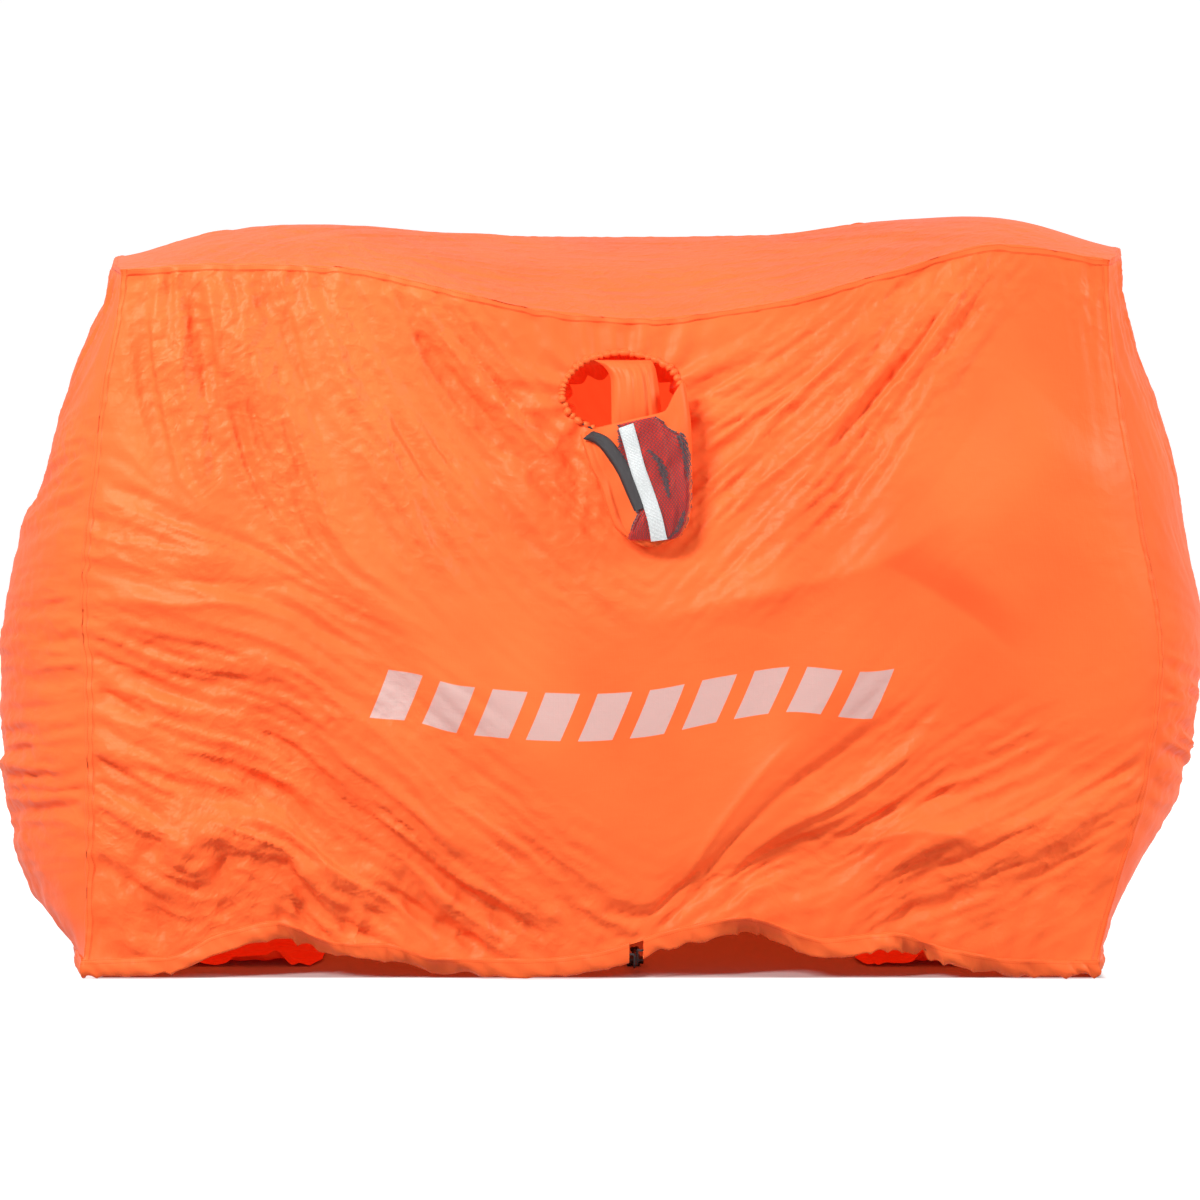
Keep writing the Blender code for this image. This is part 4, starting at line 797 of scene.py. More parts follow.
def rim_distance(place):
    """Distance outside a vent's rim line in metres, negative inside it."""
    share = np.maximum(vent_share(place), 1e-6)
    return np.hypot(place[..., 0], place[..., 1]) * (1 - 1 / share)


# Cloth

class Skin:
    """All cloth points at one fineness: the walls as one band round the shelter, the roof inside it."""

    def __init__(self, long_steps, end_steps, rows):
        self.rows = rows
        self.order = tuple(zip(("front", "right", "rear", "left"), (long_steps, end_steps) * 2))
        self.columns = 2 * (long_steps + end_steps)
        self.wall_ids = np.arange((rows + 1) * self.columns).reshape(rows + 1, self.columns)
        self.patches = {}
        self.roof_ids = np.zeros((end_steps + 1, long_steps + 1), int)
        start = 0
        for wall, steps in self.order:
            ids = self.wall_ids[:, np.arange(start, start + steps + 1) % self.columns]
            s = np.linspace(0, 1, steps + 1)
            if wall in ("rear", "left"):
                s = s[::-1]
            self.patches[wall] = (ids, *np.meshgrid(s, np.linspace(0, 1, rows + 1)))
            start += steps
        for wall, edge in (("front", np.s_[0, :]), ("right", np.s_[:, -1]),
                           ("rear", np.s_[-1, ::-1]), ("left", np.s_[::-1, 0])):
            self.roof_ids[edge] = self.patches[wall][0][-1]
        inner = np.arange((end_steps - 1) * (long_steps - 1)).reshape(end_steps - 1, long_steps - 1)
        self.roof_ids[1:-1, 1:-1] = self.wall_ids.size + inner
        roof_grid = np.meshgrid(np.linspace(0, 1, long_steps + 1), np.linspace(0, 1, end_steps + 1))
        self.patches["roof"] = (self.roof_ids, *roof_grid)
        self.count = self.wall_ids.size + inner.size
        self.target = np.zeros((self.count, 3))
        for part, (ids, s, v) in self.patches.items():
            self.target[ids] = surface(part, s, v)
            if part in END_TRIM:
                out = follow(END_TRIM[part], v) * (1 - np.abs(2 * s - 1) ** BULGE_POWER)
                self.target[ids, 0] += out * (-1 if part == "left" else 1)
        self.round_corners(SPAN["front"] / long_steps)

    def round_corners(self, step):
        """The walls turn softly into each other between the hem and the roof."""
        ring = self.target[self.wall_ids]
        rate = np.fft.rfftfreq(self.columns)
        blur = np.exp(-2 * (math.pi * CORNER_RADIUS / step * rate) ** 2)
        soft = np.fft.irfft(np.fft.rfft(ring, axis=1) * blur[:, None], self.columns, axis=1)
        away = np.full(self.columns, np.inf)
        start = 0
        for _, steps in self.order:
            turn = np.abs(np.arange(self.columns) - start)
            away = np.minimum(away, step * np.minimum(turn, self.columns - turn))
            start += steps
        up = np.sin(math.pi * np.linspace(0, 1, self.rows + 1)) ** 0.5
        share = up[:, None] * bell(away, CORNER_REACH)
        self.target[self.wall_ids] = ring + share[..., None] * (soft - ring)

    def means(self, values):
        """The mean of the four neighbours of each value."""
        result = np.empty_like(values)
        inner = np.s_[1:-1, 1:-1]
        result[self.wall_ids] = neighbours(values[self.wall_ids], True)
        result[self.roof_ids[inner]] = neighbours(values[self.roof_ids], False)[inner]
        return result

    def smooth(self, values):
        return (values + self.means(values)) / 2

    def refined(self, values, finer):
        """Values of this level on the points of a level with twice the steps."""
        result = np.zeros((finer.count, 3))
        walls = values[self.wall_ids]
        walls = np.concatenate((walls, walls[:, :1]), 1)
        result[finer.wall_ids] = doubled(walls)[:, :-1]
        result[finer.roof_ids[1:-1, 1:-1]] = doubled(values[self.roof_ids])[1:-1, 1:-1]
        return finer.smooth(result)


def neighbours(grid, wrap):
    """Mean of the four points beside each point of a grid."""
    up = np.concatenate((grid[1:], grid[-1:]))
    down = np.concatenate((grid[:1], grid[:-1]))
    if wrap:
        left, right = np.roll(grid, 1, 1), np.roll(grid, -1, 1)
    else:
        left = np.concatenate((grid[:, :1], grid[:, :-1]), 1)
        right = np.concatenate((grid[:, 1:], grid[:, -1:]), 1)
    return (up + down + left + right) / 4


def doubled(grid):
    """The grid with a point halfway between each two."""
    tall_grid = np.zeros((2 * len(grid) - 1, *grid.shape[1:]))
    tall_grid[::2] = grid
    tall_grid[1::2] = (grid[1:] + grid[:-1]) / 2
    full = np.zeros((len(tall_grid), 2 * grid.shape[1] - 1, grid.shape[2]))
    full[:, ::2] = tall_grid
    full[:, 1::2] = (tall_grid[:, 1:] + tall_grid[:, :-1]) / 2
    return full


def across_way(dx, dy):
    """The share of a stretch along x, y and their mix that lies across the way dx, dy."""
    return np.stack((dy * dy, -dx * dy, dx * dx), -1)


def smooth_share(wall, s, v):
    """0 where a wall lies smooth, 1 elsewhere."""
    share = np.ones(s.shape)
    for s0, v0, half_wide, half_high in SMOOTH.get(wall, ()):
        reach = np.hypot((s - s0) * SPAN[wall] / half_wide, (v - v0) * tall(wall) / half_high)
        share *= 1 - SMOOTH_MOST * (1 - ease((reach - SMOOTH_START) / SMOOTH_FADE))
    return share


def pull_field(wall, s, v):
    """The way the cloth is pulled at each point, as an angle, and the share of spare cloth across it."""
    wide, high = SPAN[wall], tall(wall)
    double = np.zeros((*s.shape, 2))
    amount = np.zeros(s.shape)
    for s0, v0, s1, v1, reach, share in PULLS[wall]:
        away = beside_line(wall, s, v, s0, v0, s1, v1)[1]
        weight = bell(away, reach)
        angle = 2 * math.atan2((v1 - v0) * high, (s1 - s0) * wide)
        double += (weight + 1e-4)[..., None] * np.array((math.cos(angle), math.sin(angle)))
        amount = np.maximum(amount, weight * share)
    return np.arctan2(double[..., 1], double[..., 0]) / 2, amount


def crumple_share(wall, s, v):
    """The share of spare cloth in all directions."""
    total = np.zeros(s.shape)
    for s0, v0, reach, share in CRUMPLES[wall]:
        away = np.hypot((s - s0) * SPAN[wall], (v - v0) * tall(wall))
        total = np.maximum(total, share * bell(away, reach))
    return total


def spare_cloth(wall, s, v):
    """How much longer than the skin the cloth is: along s, mixed, and along v."""
    wide, high = SPAN[wall], tall(wall)
    angle, amount = pull_field(wall, s, v)
    spare = amount[..., None] * across_way(np.cos(angle), np.sin(angle))
    spare += crumple_share(wall, s, v)[..., None] * np.array((1, 0, 1))
    spare *= smooth_share(wall, s, v)[..., None]
    for away, way in ((s * wide, (1, 0)), ((1 - s) * wide, (1, 0)), ((1 - v) * high, (0, 1))):
        spare += (SEAM_SPARE * bell(away, SEAM_PUCKER))[..., None] * across_way(*way)
    if wall == "roof":
        spare += (SEAM_SPARE * bell(v * high, SEAM_PUCKER))[..., None] * np.array((1, 0, 0))
    else:
        spare += (HEM_SPARE * np.exp(-v * high / HEM_REACH_UP))[..., None] * np.array((1, 0, 0))
    return spare


def vent_spare(skin, wall, spare):
    """Adds the gathers round a vent to the spare cloth, and stills what is inside it."""
    place = vent_place(wall, skin.target[skin.patches[wall][0]])
    way = place[..., :2] * (1, VENT_SQUASH ** -2)
    way /= np.maximum(np.linalg.norm(way, axis=-1, keepdims=True), 1e-6)
    away = rim_distance(place)
    gathers = VENT_SPARE * np.exp(-np.maximum(away, 0) / VENT_PUCKER)
    gathers = gathers[..., None] * across_way(way[..., 0], way[..., 1])
    return spare * ease(away / VENT_STILL)[..., None] + gathers


def make_threads(skin, share):
    """Pairs of cloth points that keep their distance, in groups in which no point comes twice."""
    groups = {}
    for part, (ids, s, v) in skin.patches.items():
        spare = spare_cloth(part, s, v)
        if part in VENTS:
            spare = vent_spare(skin, part, spare)
        flat = np.stack((s * SPAN[part], v * tall(part)), -1)
        rows, columns = np.indices(ids.shape)
        roof = part == "roof"
        for name, a, b in (
            ("along", np.s_[:, :-1], np.s_[:, 1:]), ("up", np.s_[:-1], np.s_[1:]),
            ("rising", np.s_[:-1, :-1], np.s_[1:, 1:]), ("falling", np.s_[:-1, 1:], np.s_[1:, :-1]),
        ):
            keep = np.ones(ids[a].shape, bool)
            if name == "up":
                keep[:, -1] = False
                keep[:, 0] = not roof
            if name == "along" and roof:
                keep[[0, -1]] = False
            count = columns[a] + (ids[0, 0] if not roof else 0) if name == "along" else rows[a]
            way = flat[b] - flat[a]
            way /= np.linalg.norm(way, axis=-1, keepdims=True)
            mean = (spare[a] + spare[b]) / 2
            x, y = way[..., 0], way[..., 1]
            extra = mean[..., 0] * x * x + 2 * mean[..., 1] * x * y + mean[..., 2] * y * y
            gap = np.linalg.norm(skin.target[ids[b]] - skin.target[ids[a]], axis=-1)
            rest = gap * (1 + share * extra)
            for parity in (0, 1):
                chosen = keep & (count % 2 == parity)
                key = (roof, name, parity)
                groups.setdefault(key, []).append((ids[a][chosen], ids[b][chosen], rest[chosen]))
    threads = []
    for (roof, name, parity), parts in groups.items():
        a, b, rest = (np.concatenate(column) for column in zip(*parts))
        threads.append((a, b, rest, 1.0 if name in ("along", "up") else SLANT_STIFF))
    return threads


def seam_distance(part, s, v):
    """Distance in metres from a panel's seams; the hem isn't one."""
    edge = np.minimum(np.minimum(s, 1 - s) * SPAN[part], (1 - v) * tall(part))
    return np.minimum(edge, v * tall(part)) if part == "roof" else edge


def make_hold(skin, hold):
    """How hard each point is held to where it should be."""
    holds = np.full(skin.count, hold)
    for part, (ids, s, v) in skin.patches.items():
        up = v * tall(part)
        grip = EDGE_GRIP * bell(seam_distance(part, s, v), SEAM_GRIP_REACH)
        grip += hold * SMOOTH_GRIP * (1 - smooth_share(part, s, v))
        if part != "roof":
            grip += EDGE_GRIP * bell(up, HEM_GRIP_REACH)
        if part == "front":
            from_gap = np.hypot(skin.target[ids][..., 0] - CORD_GAP_X, up)
            grip += 1 - ease((from_gap - CORD_GAP) / CORD_GAP)
        holds[ids] = np.minimum(1, np.maximum(holds[ids], hold + grip))
    return holds


def settle(skin, goal, share, rounds, noise, bend, hold, level):
    """Lets the spare cloth find its folds, held softly to the goal."""
    random = np.random.default_rng(SETTLE_SEED + level)
    bumps = random.normal(size=(skin.count, 3))
    for _ in range(BUMP_ROUNDS):
        bumps = skin.smooth(bumps)
    bumps *= noise / bumps.std()
    threads = make_threads(skin, share)
    holds = make_hold(skin, hold)
    for wall in VENTS:
        ids = skin.patches[wall][0]
        near = rim_distance(vent_place(wall, skin.target[ids])) < VENT_HELD
        holds[ids[near]] = 1.0
        bumps[ids[near]] = 0
    shape = goal + bumps
    past = shape.copy()
    holds = holds[:, None]
    for _ in range(rounds):
        moved = shape + MOMENTUM * (shape - past)
        past = shape
        offset = moved - goal
        uneven = offset - skin.means(offset)
        uneven -= skin.means(uneven)
        shape = moved - bend * uneven - holds * offset
        for a, b, rest, stiff in threads:
            way = shape[b] - shape[a]
            length = np.sqrt(np.einsum("ij,ij->i", way, way))
            way *= (0.5 * stiff * (1 - rest / length))[:, None]
            shape[a] += way
            shape[b] -= way
        np.maximum(shape[:, 2], FLOOR, out=shape[:, 2])
    return shape


def crease_height(part, s, v):
    """Height of the single creases, each with a sharp crest."""
    total = np.zeros(s.shape)
    size = np.array((SPAN[part], tall(part)))
    here = np.stack((s, v), -1) * size
    for s0, v0, s1, v1, bow, half_width, height in CREASES[part]:
        start = np.array((s0, v0)) * size
        run = np.array((s1, v1)) * size - start
        length = math.hypot(*run)
        along = (here - start) @ run / length ** 2
        side = (here - start) @ np.array((-run[1], run[0])) / length
        inside = np.clip(along, 0, 1)
        side = side - bow * length * 4 * inside * (1 - inside)
        away = np.sqrt(side ** 2 + ((along - inside) * length) ** 2 + (CREASE_CREST * half_width) ** 2)
        rise = ease(CREASE_RISE * np.minimum(inside, 1 - inside) + CREASE_END)
        total += CREASE_GAIN * height * np.exp(-away / half_width) * rise
    return total


def blurred(grid, grain):
    """The grid smoothed over about grain steps."""
    width = np.arange(-3, 4) * 1.0
    kernel = bell(width, grain)
    kernel /= kernel.sum()
    for axis in (0, 1):
        grid = np.apply_along_axis(np.convolve, axis, grid, kernel, "same")
    return grid


def streak_height(s, angle, random, grain, length):
    """Noise drawn out along the pulls, with narrow crests."""
    noise = blurred(random.normal(size=s.shape), grain)
    flow = np.stack((np.cos(angle), np.sin(angle)), -1)
    if s[0, 0] > s[0, -1]:
        flow[..., 0] *= -1
    total = noise.copy()
    rows, columns = s.shape
    for sign in (1, -1):
        place = np.stack(np.indices(s.shape)[::-1], -1).astype(float)
        heading = sign * flow
        for step in range(length):
            column = np.clip(np.rint(place[..., 0]).astype(int), 0, columns - 1)
            row = np.clip(np.rint(place[..., 1]).astype(int), 0, rows - 1)
            here = flow[row, column]
            turn = np.sign(np.einsum("ijk,ijk->ij", here, heading)) + 1e-9
            heading = here * turn[..., None]
            place += heading
            total += noise[row, column] * (1 - step / length)
    return STREAK_CREST - np.abs(total / total.std())


def facet_height(part, s, v, random):
    """Crumpled cloth: flat facets between random points, half a unit up or down."""
    wide, high = SPAN[part], tall(part)
    nx, ny = (max(3, round(size / FACET)) for size in (wide, high))
    x, y = np.meshgrid(*(np.linspace(-FACET_MARGIN, 1 + FACET_MARGIN, count) for count in (nx, ny)))
    x = (x + random.uniform(-FACET_JITTER, FACET_JITTER, x.shape) / nx).ravel() * wide
    y = (y + random.uniform(-FACET_JITTER, FACET_JITTER, y.shape) / ny).ravel() * high
    corners = [Vector(pair) for pair in zip(x, y)]
    found = delaunay_2d_cdt(corners, [], [], 0, 1e-6)
    height = random.uniform(0, 1, len(x))
    total = np.full(s.shape, 0.5)
    px, py = s * wide, v * high
    for a, b, c in found[2]:
        ax, ay, bx, by, cx, cy = x[a], y[a], x[b], y[b], x[c], y[c]
        low_x, low_y = min(ax, bx, cx), min(ay, by, cy)
        near = (px >= low_x) & (px <= max(ax, bx, cx)) & (py >= low_y) & (py <= max(ay, by, cy))
        qx, qy = px[near], py[near]
        area = (bx - ax) * (cy - ay) - (cx - ax) * (by - ay)
        wb = ((qx - ax) * (cy - ay) - (cx - ax) * (qy - ay)) / area
        wc = ((bx - ax) * (qy - ay) - (qx - ax) * (by - ay)) / area
        wa = 1 - wb - wc
        inside = np.minimum(np.minimum(wa, wb), wc) > -1e-6
        values = total[near]
        values[inside] = (height[a] * wa + height[b] * wb + height[c] * wc)[inside]
        total[near] = values
    return total - 0.5


def fine_detail(skin):
    """How far each point of the finest grid stands off the settled cloth."""
    heights = np.zeros(skin.count)
    for number, (part, (ids, s, v)) in enumerate(skin.patches.items()):
        random = np.random.default_rng(DETAIL_SEED + number)
        angle, amount = pull_field(part, s, v)
        amount = np.minimum(1, amount / FULL_SPARE) + STREAK_LEAST
        detail = sum(
            height * streak_height(s, angle, random, grain, length)
            for grain, length, height in STREAKS
        ) * amount
        share = END_DETAIL if part in ("left", "right", "roof") else 1.0
        if part in ("left", "right"):
            most, less, reach = END_STREAKS
            detail *= most - less * bell(s - 0.5, reach)
        if part == "roof":
            detail *= ROOF_STAND
        crumple = share * (np.minimum(1, crumple_share(part, s, v) / FULL_SPARE) + FACET_BASE)
        detail += FACET_HEIGHT * crumple * facet_height(part, s, v, random)
        detail += FINE_FACETS * FACET_HEIGHT * crumple * facet_height(part, s * 2, v * 2, random)
        detail *= smooth_share(part, s, v)
        detail += share * crease_height(part, s, v)
        edge = seam_distance(part, s, v)
        if part != "roof":
            edge = np.minimum(edge, v * tall(part) + HEM_DETAIL)
        if part in VENTS:
            edge = np.minimum(edge, rim_distance(vent_place(part, skin.target[ids])))
        heights[ids] = np.where(edge > 0, detail * ease(edge / DETAIL_FADE), heights[ids])
    return heights


def settled_cloth():
    skins = [Skin(*steps) for steps in LEVELS]
    shape = skins[0].target
    for level, skin in enumerate(skins):
        if level:
            coarser = skins[level - 1]
            shape = skin.target + coarser.refined(shape - coarser.target, skin)
        if level < len(SETTLING) and not (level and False):
            shape = settle(skin, shape, *SETTLING[level], level)
    shape = shape + cloth_normals(skin, shape) * fine_detail(skin)[:, None]
    np.maximum(shape[:, 2], FLOOR, out=shape[:, 2])
    return skin, shape


def cloth_normals(skin, shape):
    normals = np.zeros_like(shape)
    for ids, _, _ in skin.patches.values():
        a, b, c, d = ids[:-1, :-1], ids[:-1, 1:], ids[1:, 1:], ids[1:, :-1]
        across = np.cross(shape[c] - shape[a], shape[d] - shape[b])
        for corner_ids in (a, b, c, d):
            np.add.at(normals, corner_ids.ravel(), across.reshape(-1, 3))
    return normals / np.maximum(np.linalg.norm(normals, axis=1, keepdims=True), 1e-12)


class Cloth:
    """The settled cloth, which the pieces sewn to it follow."""

    def __init__(self):
        self.skin, self.shape = settled_cloth()
        self.normals = cloth_normals(self.skin, self.shape)

    def at(self, part, s, v):
        """Points and outward normals at fractions along and up a panel."""
        ids, s_grid, _ = self.skin.patches[part]
        s, v = np.broadcast_arrays(np.asarray(s, float), np.asarray(v, float))
        if s_grid[0, 0] > s_grid[0, -1]:
            s = 1 - s
        column, row = s * (ids.shape[1] - 1), v * (ids.shape[0] - 1)
        i = np.clip(row.astype(int), 0, ids.shape[0] - 2)
        j = np.clip(column.astype(int), 0, ids.shape[1] - 2)
        a, b = (row - i)[..., None], (column - j)[..., None]
        results = []
        for values in (self.shape, self.normals):
            low = values[ids[i, j]] * (1 - b) + values[ids[i, j + 1]] * b
            high = values[ids[i + 1, j]] * (1 - b) + values[ids[i + 1, j + 1]] * b
            results.append(low * (1 - a) + high * a)
        return results


# Pieces

def add_object(name, data):
    item = bpy.data.objects.new(name, data)
    bpy.context.scene.collection.objects.link(item)
    return item


def make_piece(name, points, faces, material, uvs=None, smooth=True):
    """A mesh object; uvs holds a place in metres for each point."""
    mesh = bpy.data.meshes.new(name)
    mesh.from_pydata(np.asarray(points, float).tolist(), [], [tuple(map(int, face)) for face in faces])
    if uvs is not None:
        corners = np.zeros(len(mesh.loops), int)
        mesh.loops.foreach_get("vertex_index", corners)
        layer = mesh.uv_layers.new(name="cloth")
        layer.data.foreach_set("uv", np.asarray(uvs, np.float32)[corners].ravel())
    if smooth:
        mesh.shade_smooth()
    mesh.materials.append(material)
    return add_object(name, mesh)


def grid_faces(ids):
    return np.stack((ids[:-1, :-1], ids[:-1, 1:], ids[1:, 1:], ids[1:, :-1]), -1).reshape(-1, 4)


def make_panel(name, part, skin, shape, material):
    """One sewn panel cut out of the settled cloth, with the vent's hole where it has one."""
    ids, s, v = skin.patches[part]
    points = shape[ids].reshape(-1, 3)
    uvs = np.stack((s * SPAN[part], v * tall(part)), -1).reshape(-1, 2)
    crumple = crumple_share(part, s, v) / FULL_CRUMPLE + pull_field(part, s, v)[1] / FULL_PULL
    if part == "roof":
        crumple = crumple + ROOF_CREASES
    crumple = (np.minimum(1, crumple) * smooth_share(part, s, v)).ravel().astype(np.float32)
    faces = grid_faces(np.arange(ids.size).reshape(ids.shape))
    if part in VENTS:
        _, across, up, _ = vent_frame(part)
        place = vent_place(part, points)
        share = vent_share(place)
        cell = SPAN[part] / (ids.shape[1] - 1)
        on_ring = np.abs(rim_distance(place)) < RING_CELLS * cell
        shift = place[on_ring, :2] * (1 / share[on_ring] - 1)[:, None]
        points[on_ring] += shift @ np.stack((across, up))
        inside = (share < 1) & ~on_ring
        faces = faces[~inside[faces].any(1)]
        used = np.unique(faces)
        renumber = np.zeros(len(points), int)
        renumber[used] = np.arange(len(used))
        points, uvs, crumple, faces = points[used], uvs[used], crumple[used], renumber[faces]
    panel = make_piece(name, points, faces, material, uvs)
    share = panel.data.attributes.new("crumple", "FLOAT", "POINT")
    share.data.foreach_set("value", crumple)
    return panel


# Materials

class Wires:
    """Short hand for the nodes of a material or of the world."""

    def __init__(self, owner):
        owner.use_nodes = True
        self.owner = owner
        self.nodes = owner.node_tree.nodes
        self.links = owner.node_tree.links

    def put(self, socket, value):
        if isinstance(value, bpy.types.NodeSocket):
            self.links.new(value, socket)
        elif isinstance(value, tuple) and len(value) == 3 and len(socket.default_value) == 4:
            socket.default_value = (*value, 1)
        else:
            socket.default_value = value

    def fill(self, item, **inputs):
        """Sets a node's inputs by name, with _ for each space."""
        for name, value in inputs.items():
            self.put(item.inputs[name.replace("_", " ")], value)

    def node(self, kind, settings=None, **inputs):
        item = self.nodes.new("ShaderNode" + kind)
        for key, value in (settings or {}).items():
            setattr(item, key, value)
        self.fill(item, **inputs)
        return item

    def chain(self, kind, settings, *values):
        """The first output of a new node that takes the values in order."""
        item = self.node(kind, settings)
        for socket, value in zip(item.inputs, values):
            self.put(socket, value)
        return item.outputs[0]

    def math(self, operation, *values):
        return self.chain("Math", {"operation": operation}, *values)

    def ramp(self, value, low, high, to_low=0.0, to_high=1.0):
        ends = {"From_Min": low, "From_Max": high, "To_Min": to_low, "To_Max": to_high}
        return self.node("MapRange", {"interpolation_type": "SMOOTHSTEP"}, Value=value, **ends).outputs[0]

    def blend(self, share, a, b):
        item = self.node("Mix", {"data_type": "RGBA"})
        for index, value in ((0, share), (6, a), (7, b)):
            self.put(item.inputs[index], value)
        return item.outputs[2]

    def noise(self, place, scale, detail, output="Fac"):
        return self.node("TexNoise", Vector=place, Scale=scale, Detail=detail).outputs[output]

    def parts(self, place):
        return self.node("SeparateXYZ", Vector=place).outputs

    def off(self, value, middle):
        """How far a value is from a middle one."""
        return self.math("ABSOLUTE", self.math("SUBTRACT", value, middle))

    def beat(self, turns):
        """How far a number of turns is from half a turn."""
        return self.off(self.math("FRACT", turns), 0.5)

    def finish(self, colour, rough, height):
        """Sets the shader's colour, roughness and relief, whose height is in metres; gives the relief."""
        relief = self.node("Bump", Height=height, Distance=1.0, Strength=1.0).outputs[0]
        self.fill(self.nodes["Principled BSDF"], Base_Color=colour, Roughness=rough, Normal=relief)
        return relief


def material_wires(name):
    return Wires(bpy.data.materials.new(name))


def creases(wires, place):
    """Height in metres of the fine wrinkles that packing leaves in coated nylon."""
    warp = wires.noise(place, WARP_WAVES, 3.0, "Color")
    bent = wires.chain("VectorMath", {"operation": "MULTIPLY_ADD"}, warp, WARP, place)
    height = 0.0
    for scale, deep in CREASE_SIZES:
        height = wires.math("MULTIPLY_ADD", wires.off(wires.noise(bent, scale, 2.0), 0.5), -deep, height)
    crumple = wires.node("Attribute", {"attribute_name": "crumple"}).outputs["Fac"]
    return wires.math("MULTIPLY", height, wires.math("ADD", crumple, CREASE_LEAST))


def ripstop(wires, place):
    """1 on the heavier threads that cross the weave."""
    lines = 0.0
    for axis in ("X", "Y"):
        off = wires.beat(wires.math("MULTIPLY", wires.parts(place)[axis], 1 / RIPSTOP_PITCH))
        lines = wires.math("MAXIMUM", wires.ramp(off, 0.08, 0.03), lines)
    return lines


def nylon(name, colours, dressed=None):
    """Thin coated ripstop nylon: a soft sheen, creased, with light coming through it."""
    colour, glow = colours
    wires = material_wires(name)
    place = wires.node("UVMap").outputs["UV"]
    broad = wires.noise(place, 5.0, 3.0)
    grid = ripstop(wires, place)
    light = tuple(min(1.0, c * NYLON_LIGHT) for c in colour)
    dark = tuple(c * NYLON_DARK for c in colour)
    tint = wires.blend(wires.ramp(broad, 0.3, 0.7), dark, light)
    tint = wires.blend(wires.math("MULTIPLY", grid, RIPSTOP_SHADE), tint, dark)
    if dressed:
        tint = dressed(wires, place, tint)
    height = wires.math("MULTIPLY_ADD", grid, GRAIN_HEIGHT, creases(wires, place))
    relief = wires.finish(tint, wires.ramp(broad, 0.2, 0.8, *NYLON_ROUGH), height)
    shader = wires.nodes["Principled BSDF"]
    wires.fill(shader, Specular_IOR_Level=NYLON_SPECULAR, Specular_Tint=NYLON_SHEEN)
    through = wires.node("BsdfTranslucent", Color=glow, Normal=relief)
    both = wires.chain("MixShader", None, NYLON_THROUGH, shader.outputs[0], through.outputs[0])
    wires.fill(wires.nodes["Material Output"], Surface=both)
    return wires.owner


def small_goods(name, colour, rough, pitch=0.0, slant=0.0, deep=0.0, metallic=0.0, mapped=True):
    """A small part's finish: a fine grain, with ribs where pitch gives them, or a braid if they slant;
    painted shade darkens the grooves between them.
    """
    wires = material_wires(name)
    place = wires.node("UVMap").outputs["UV"] if mapped else wires.node("TexCoord").outputs["Object"]
    grain = wires.noise(place, GOODS_GRAIN, 2.0)
    dark = tuple(GOODS_DARK * c for c in colour)
    tint = wires.blend(wires.ramp(grain, 0.3, 0.7), dark, colour)
    height = wires.math("MULTIPLY", grain, GRAIN_HEIGHT)
    if pitch:
        parts = wires.parts(place)
        for turn in (slant, -slant) if slant else (0.0,):
            along = wires.math("MULTIPLY_ADD", parts["Y"], turn, parts["X"])
            rib = wires.math("SINE", wires.math("MULTIPLY", along, 2 * math.pi / pitch))
            height = wires.math("MULTIPLY_ADD", rib, deep, height)
            # Painted shade: the grooves between the ribs are coloured darker.
            tint = wires.blend(wires.ramp(rib, -1.0, -0.2), dark, tint)
    wires.finish(tint, wires.ramp(grain, 0.2, 0.8, rough - GOODS_SPREAD, rough + GOODS_SPREAD), height)
    wires.fill(wires.nodes["Principled BSDF"], Metallic=metallic)
    return wires.owner


def stitched(wires, place, colour):
    """Two rows of stitches along a seam."""
    parts = wires.parts(place)
    dash = wires.ramp(wires.beat(wires.math("DIVIDE", parts["X"], STITCH_PITCH)), *STITCH_ENDS)
    rows = 0.0
    for row in STITCH_ROWS:
        rows = wires.math("MAXIMUM", wires.ramp(wires.off(parts["Y"], row), *STITCH_SIDES), rows)
    return wires.blend(wires.math("MULTIPLY", rows, dash), colour, STITCH_COLOUR)


def printed(wires, place, colour):
    """A plain printed band: a row of slanted bars."""
    parts = wires.parts(place)
    y = parts["Y"]
    slanted = wires.math("MULTIPLY_ADD", wires.math("SUBTRACT", y, PRINT_LOW), -PRINT_SLANT, parts["X"])
    x = wires.math("SUBTRACT", slanted, PRINT_LEFT)
    off = wires.beat(wires.math("DIVIDE", x, PRINT_PITCH))
    bars = wires.ramp(off, PRINT_BAR + PRINT_SOFT, PRINT_BAR - PRINT_SOFT)
    for value, edge, sign in ((y, PRINT_LOW, 1), (y, PRINT_HIGH, -1), (x, 0.0, 1), (x, PRINT_WIDE, -1)):
        inside = wires.math("MULTIPLY", wires.math("SUBTRACT", value, edge), sign)
        bars = wires.math("MULTIPLY", bars, wires.ramp(inside, -PRINT_EDGE, PRINT_EDGE))
    return wires.blend(wires.math("MULTIPLY", bars, PRINT_COVER), colour, PRINT_GREY)


# Camera, lamps and studio

def make_camera():
    camera = add_object("camera", bpy.data.cameras.new("camera"))
    tilt = math.radians(CAMERA_RISE)
    camera.location = (0, -CAMERA_AWAY * math.cos(tilt), CAMERA_AIM + CAMERA_AWAY * math.sin(tilt))
    camera.rotation_euler = (math.pi / 2 - tilt, 0, 0)
    camera.data.lens = CAMERA_LENS
    camera.data.sensor_width = CAMERA_SENSOR
    camera.data.clip_end = CAMERA_REACH
    bpy.context.scene.camera = camera


def make_lamp(name, place, aim, size, power):
    lamp = bpy.data.lights.new(name, "AREA")
    lamp.shape = "DISK"
    lamp.size = size
    lamp.energy = power
    item = add_object(name, lamp)
    item.location = place
    item.rotation_euler = (Vector(aim) - Vector(place)).to_track_quat("-Z", "Y").to_euler()
    item.visible_camera = False


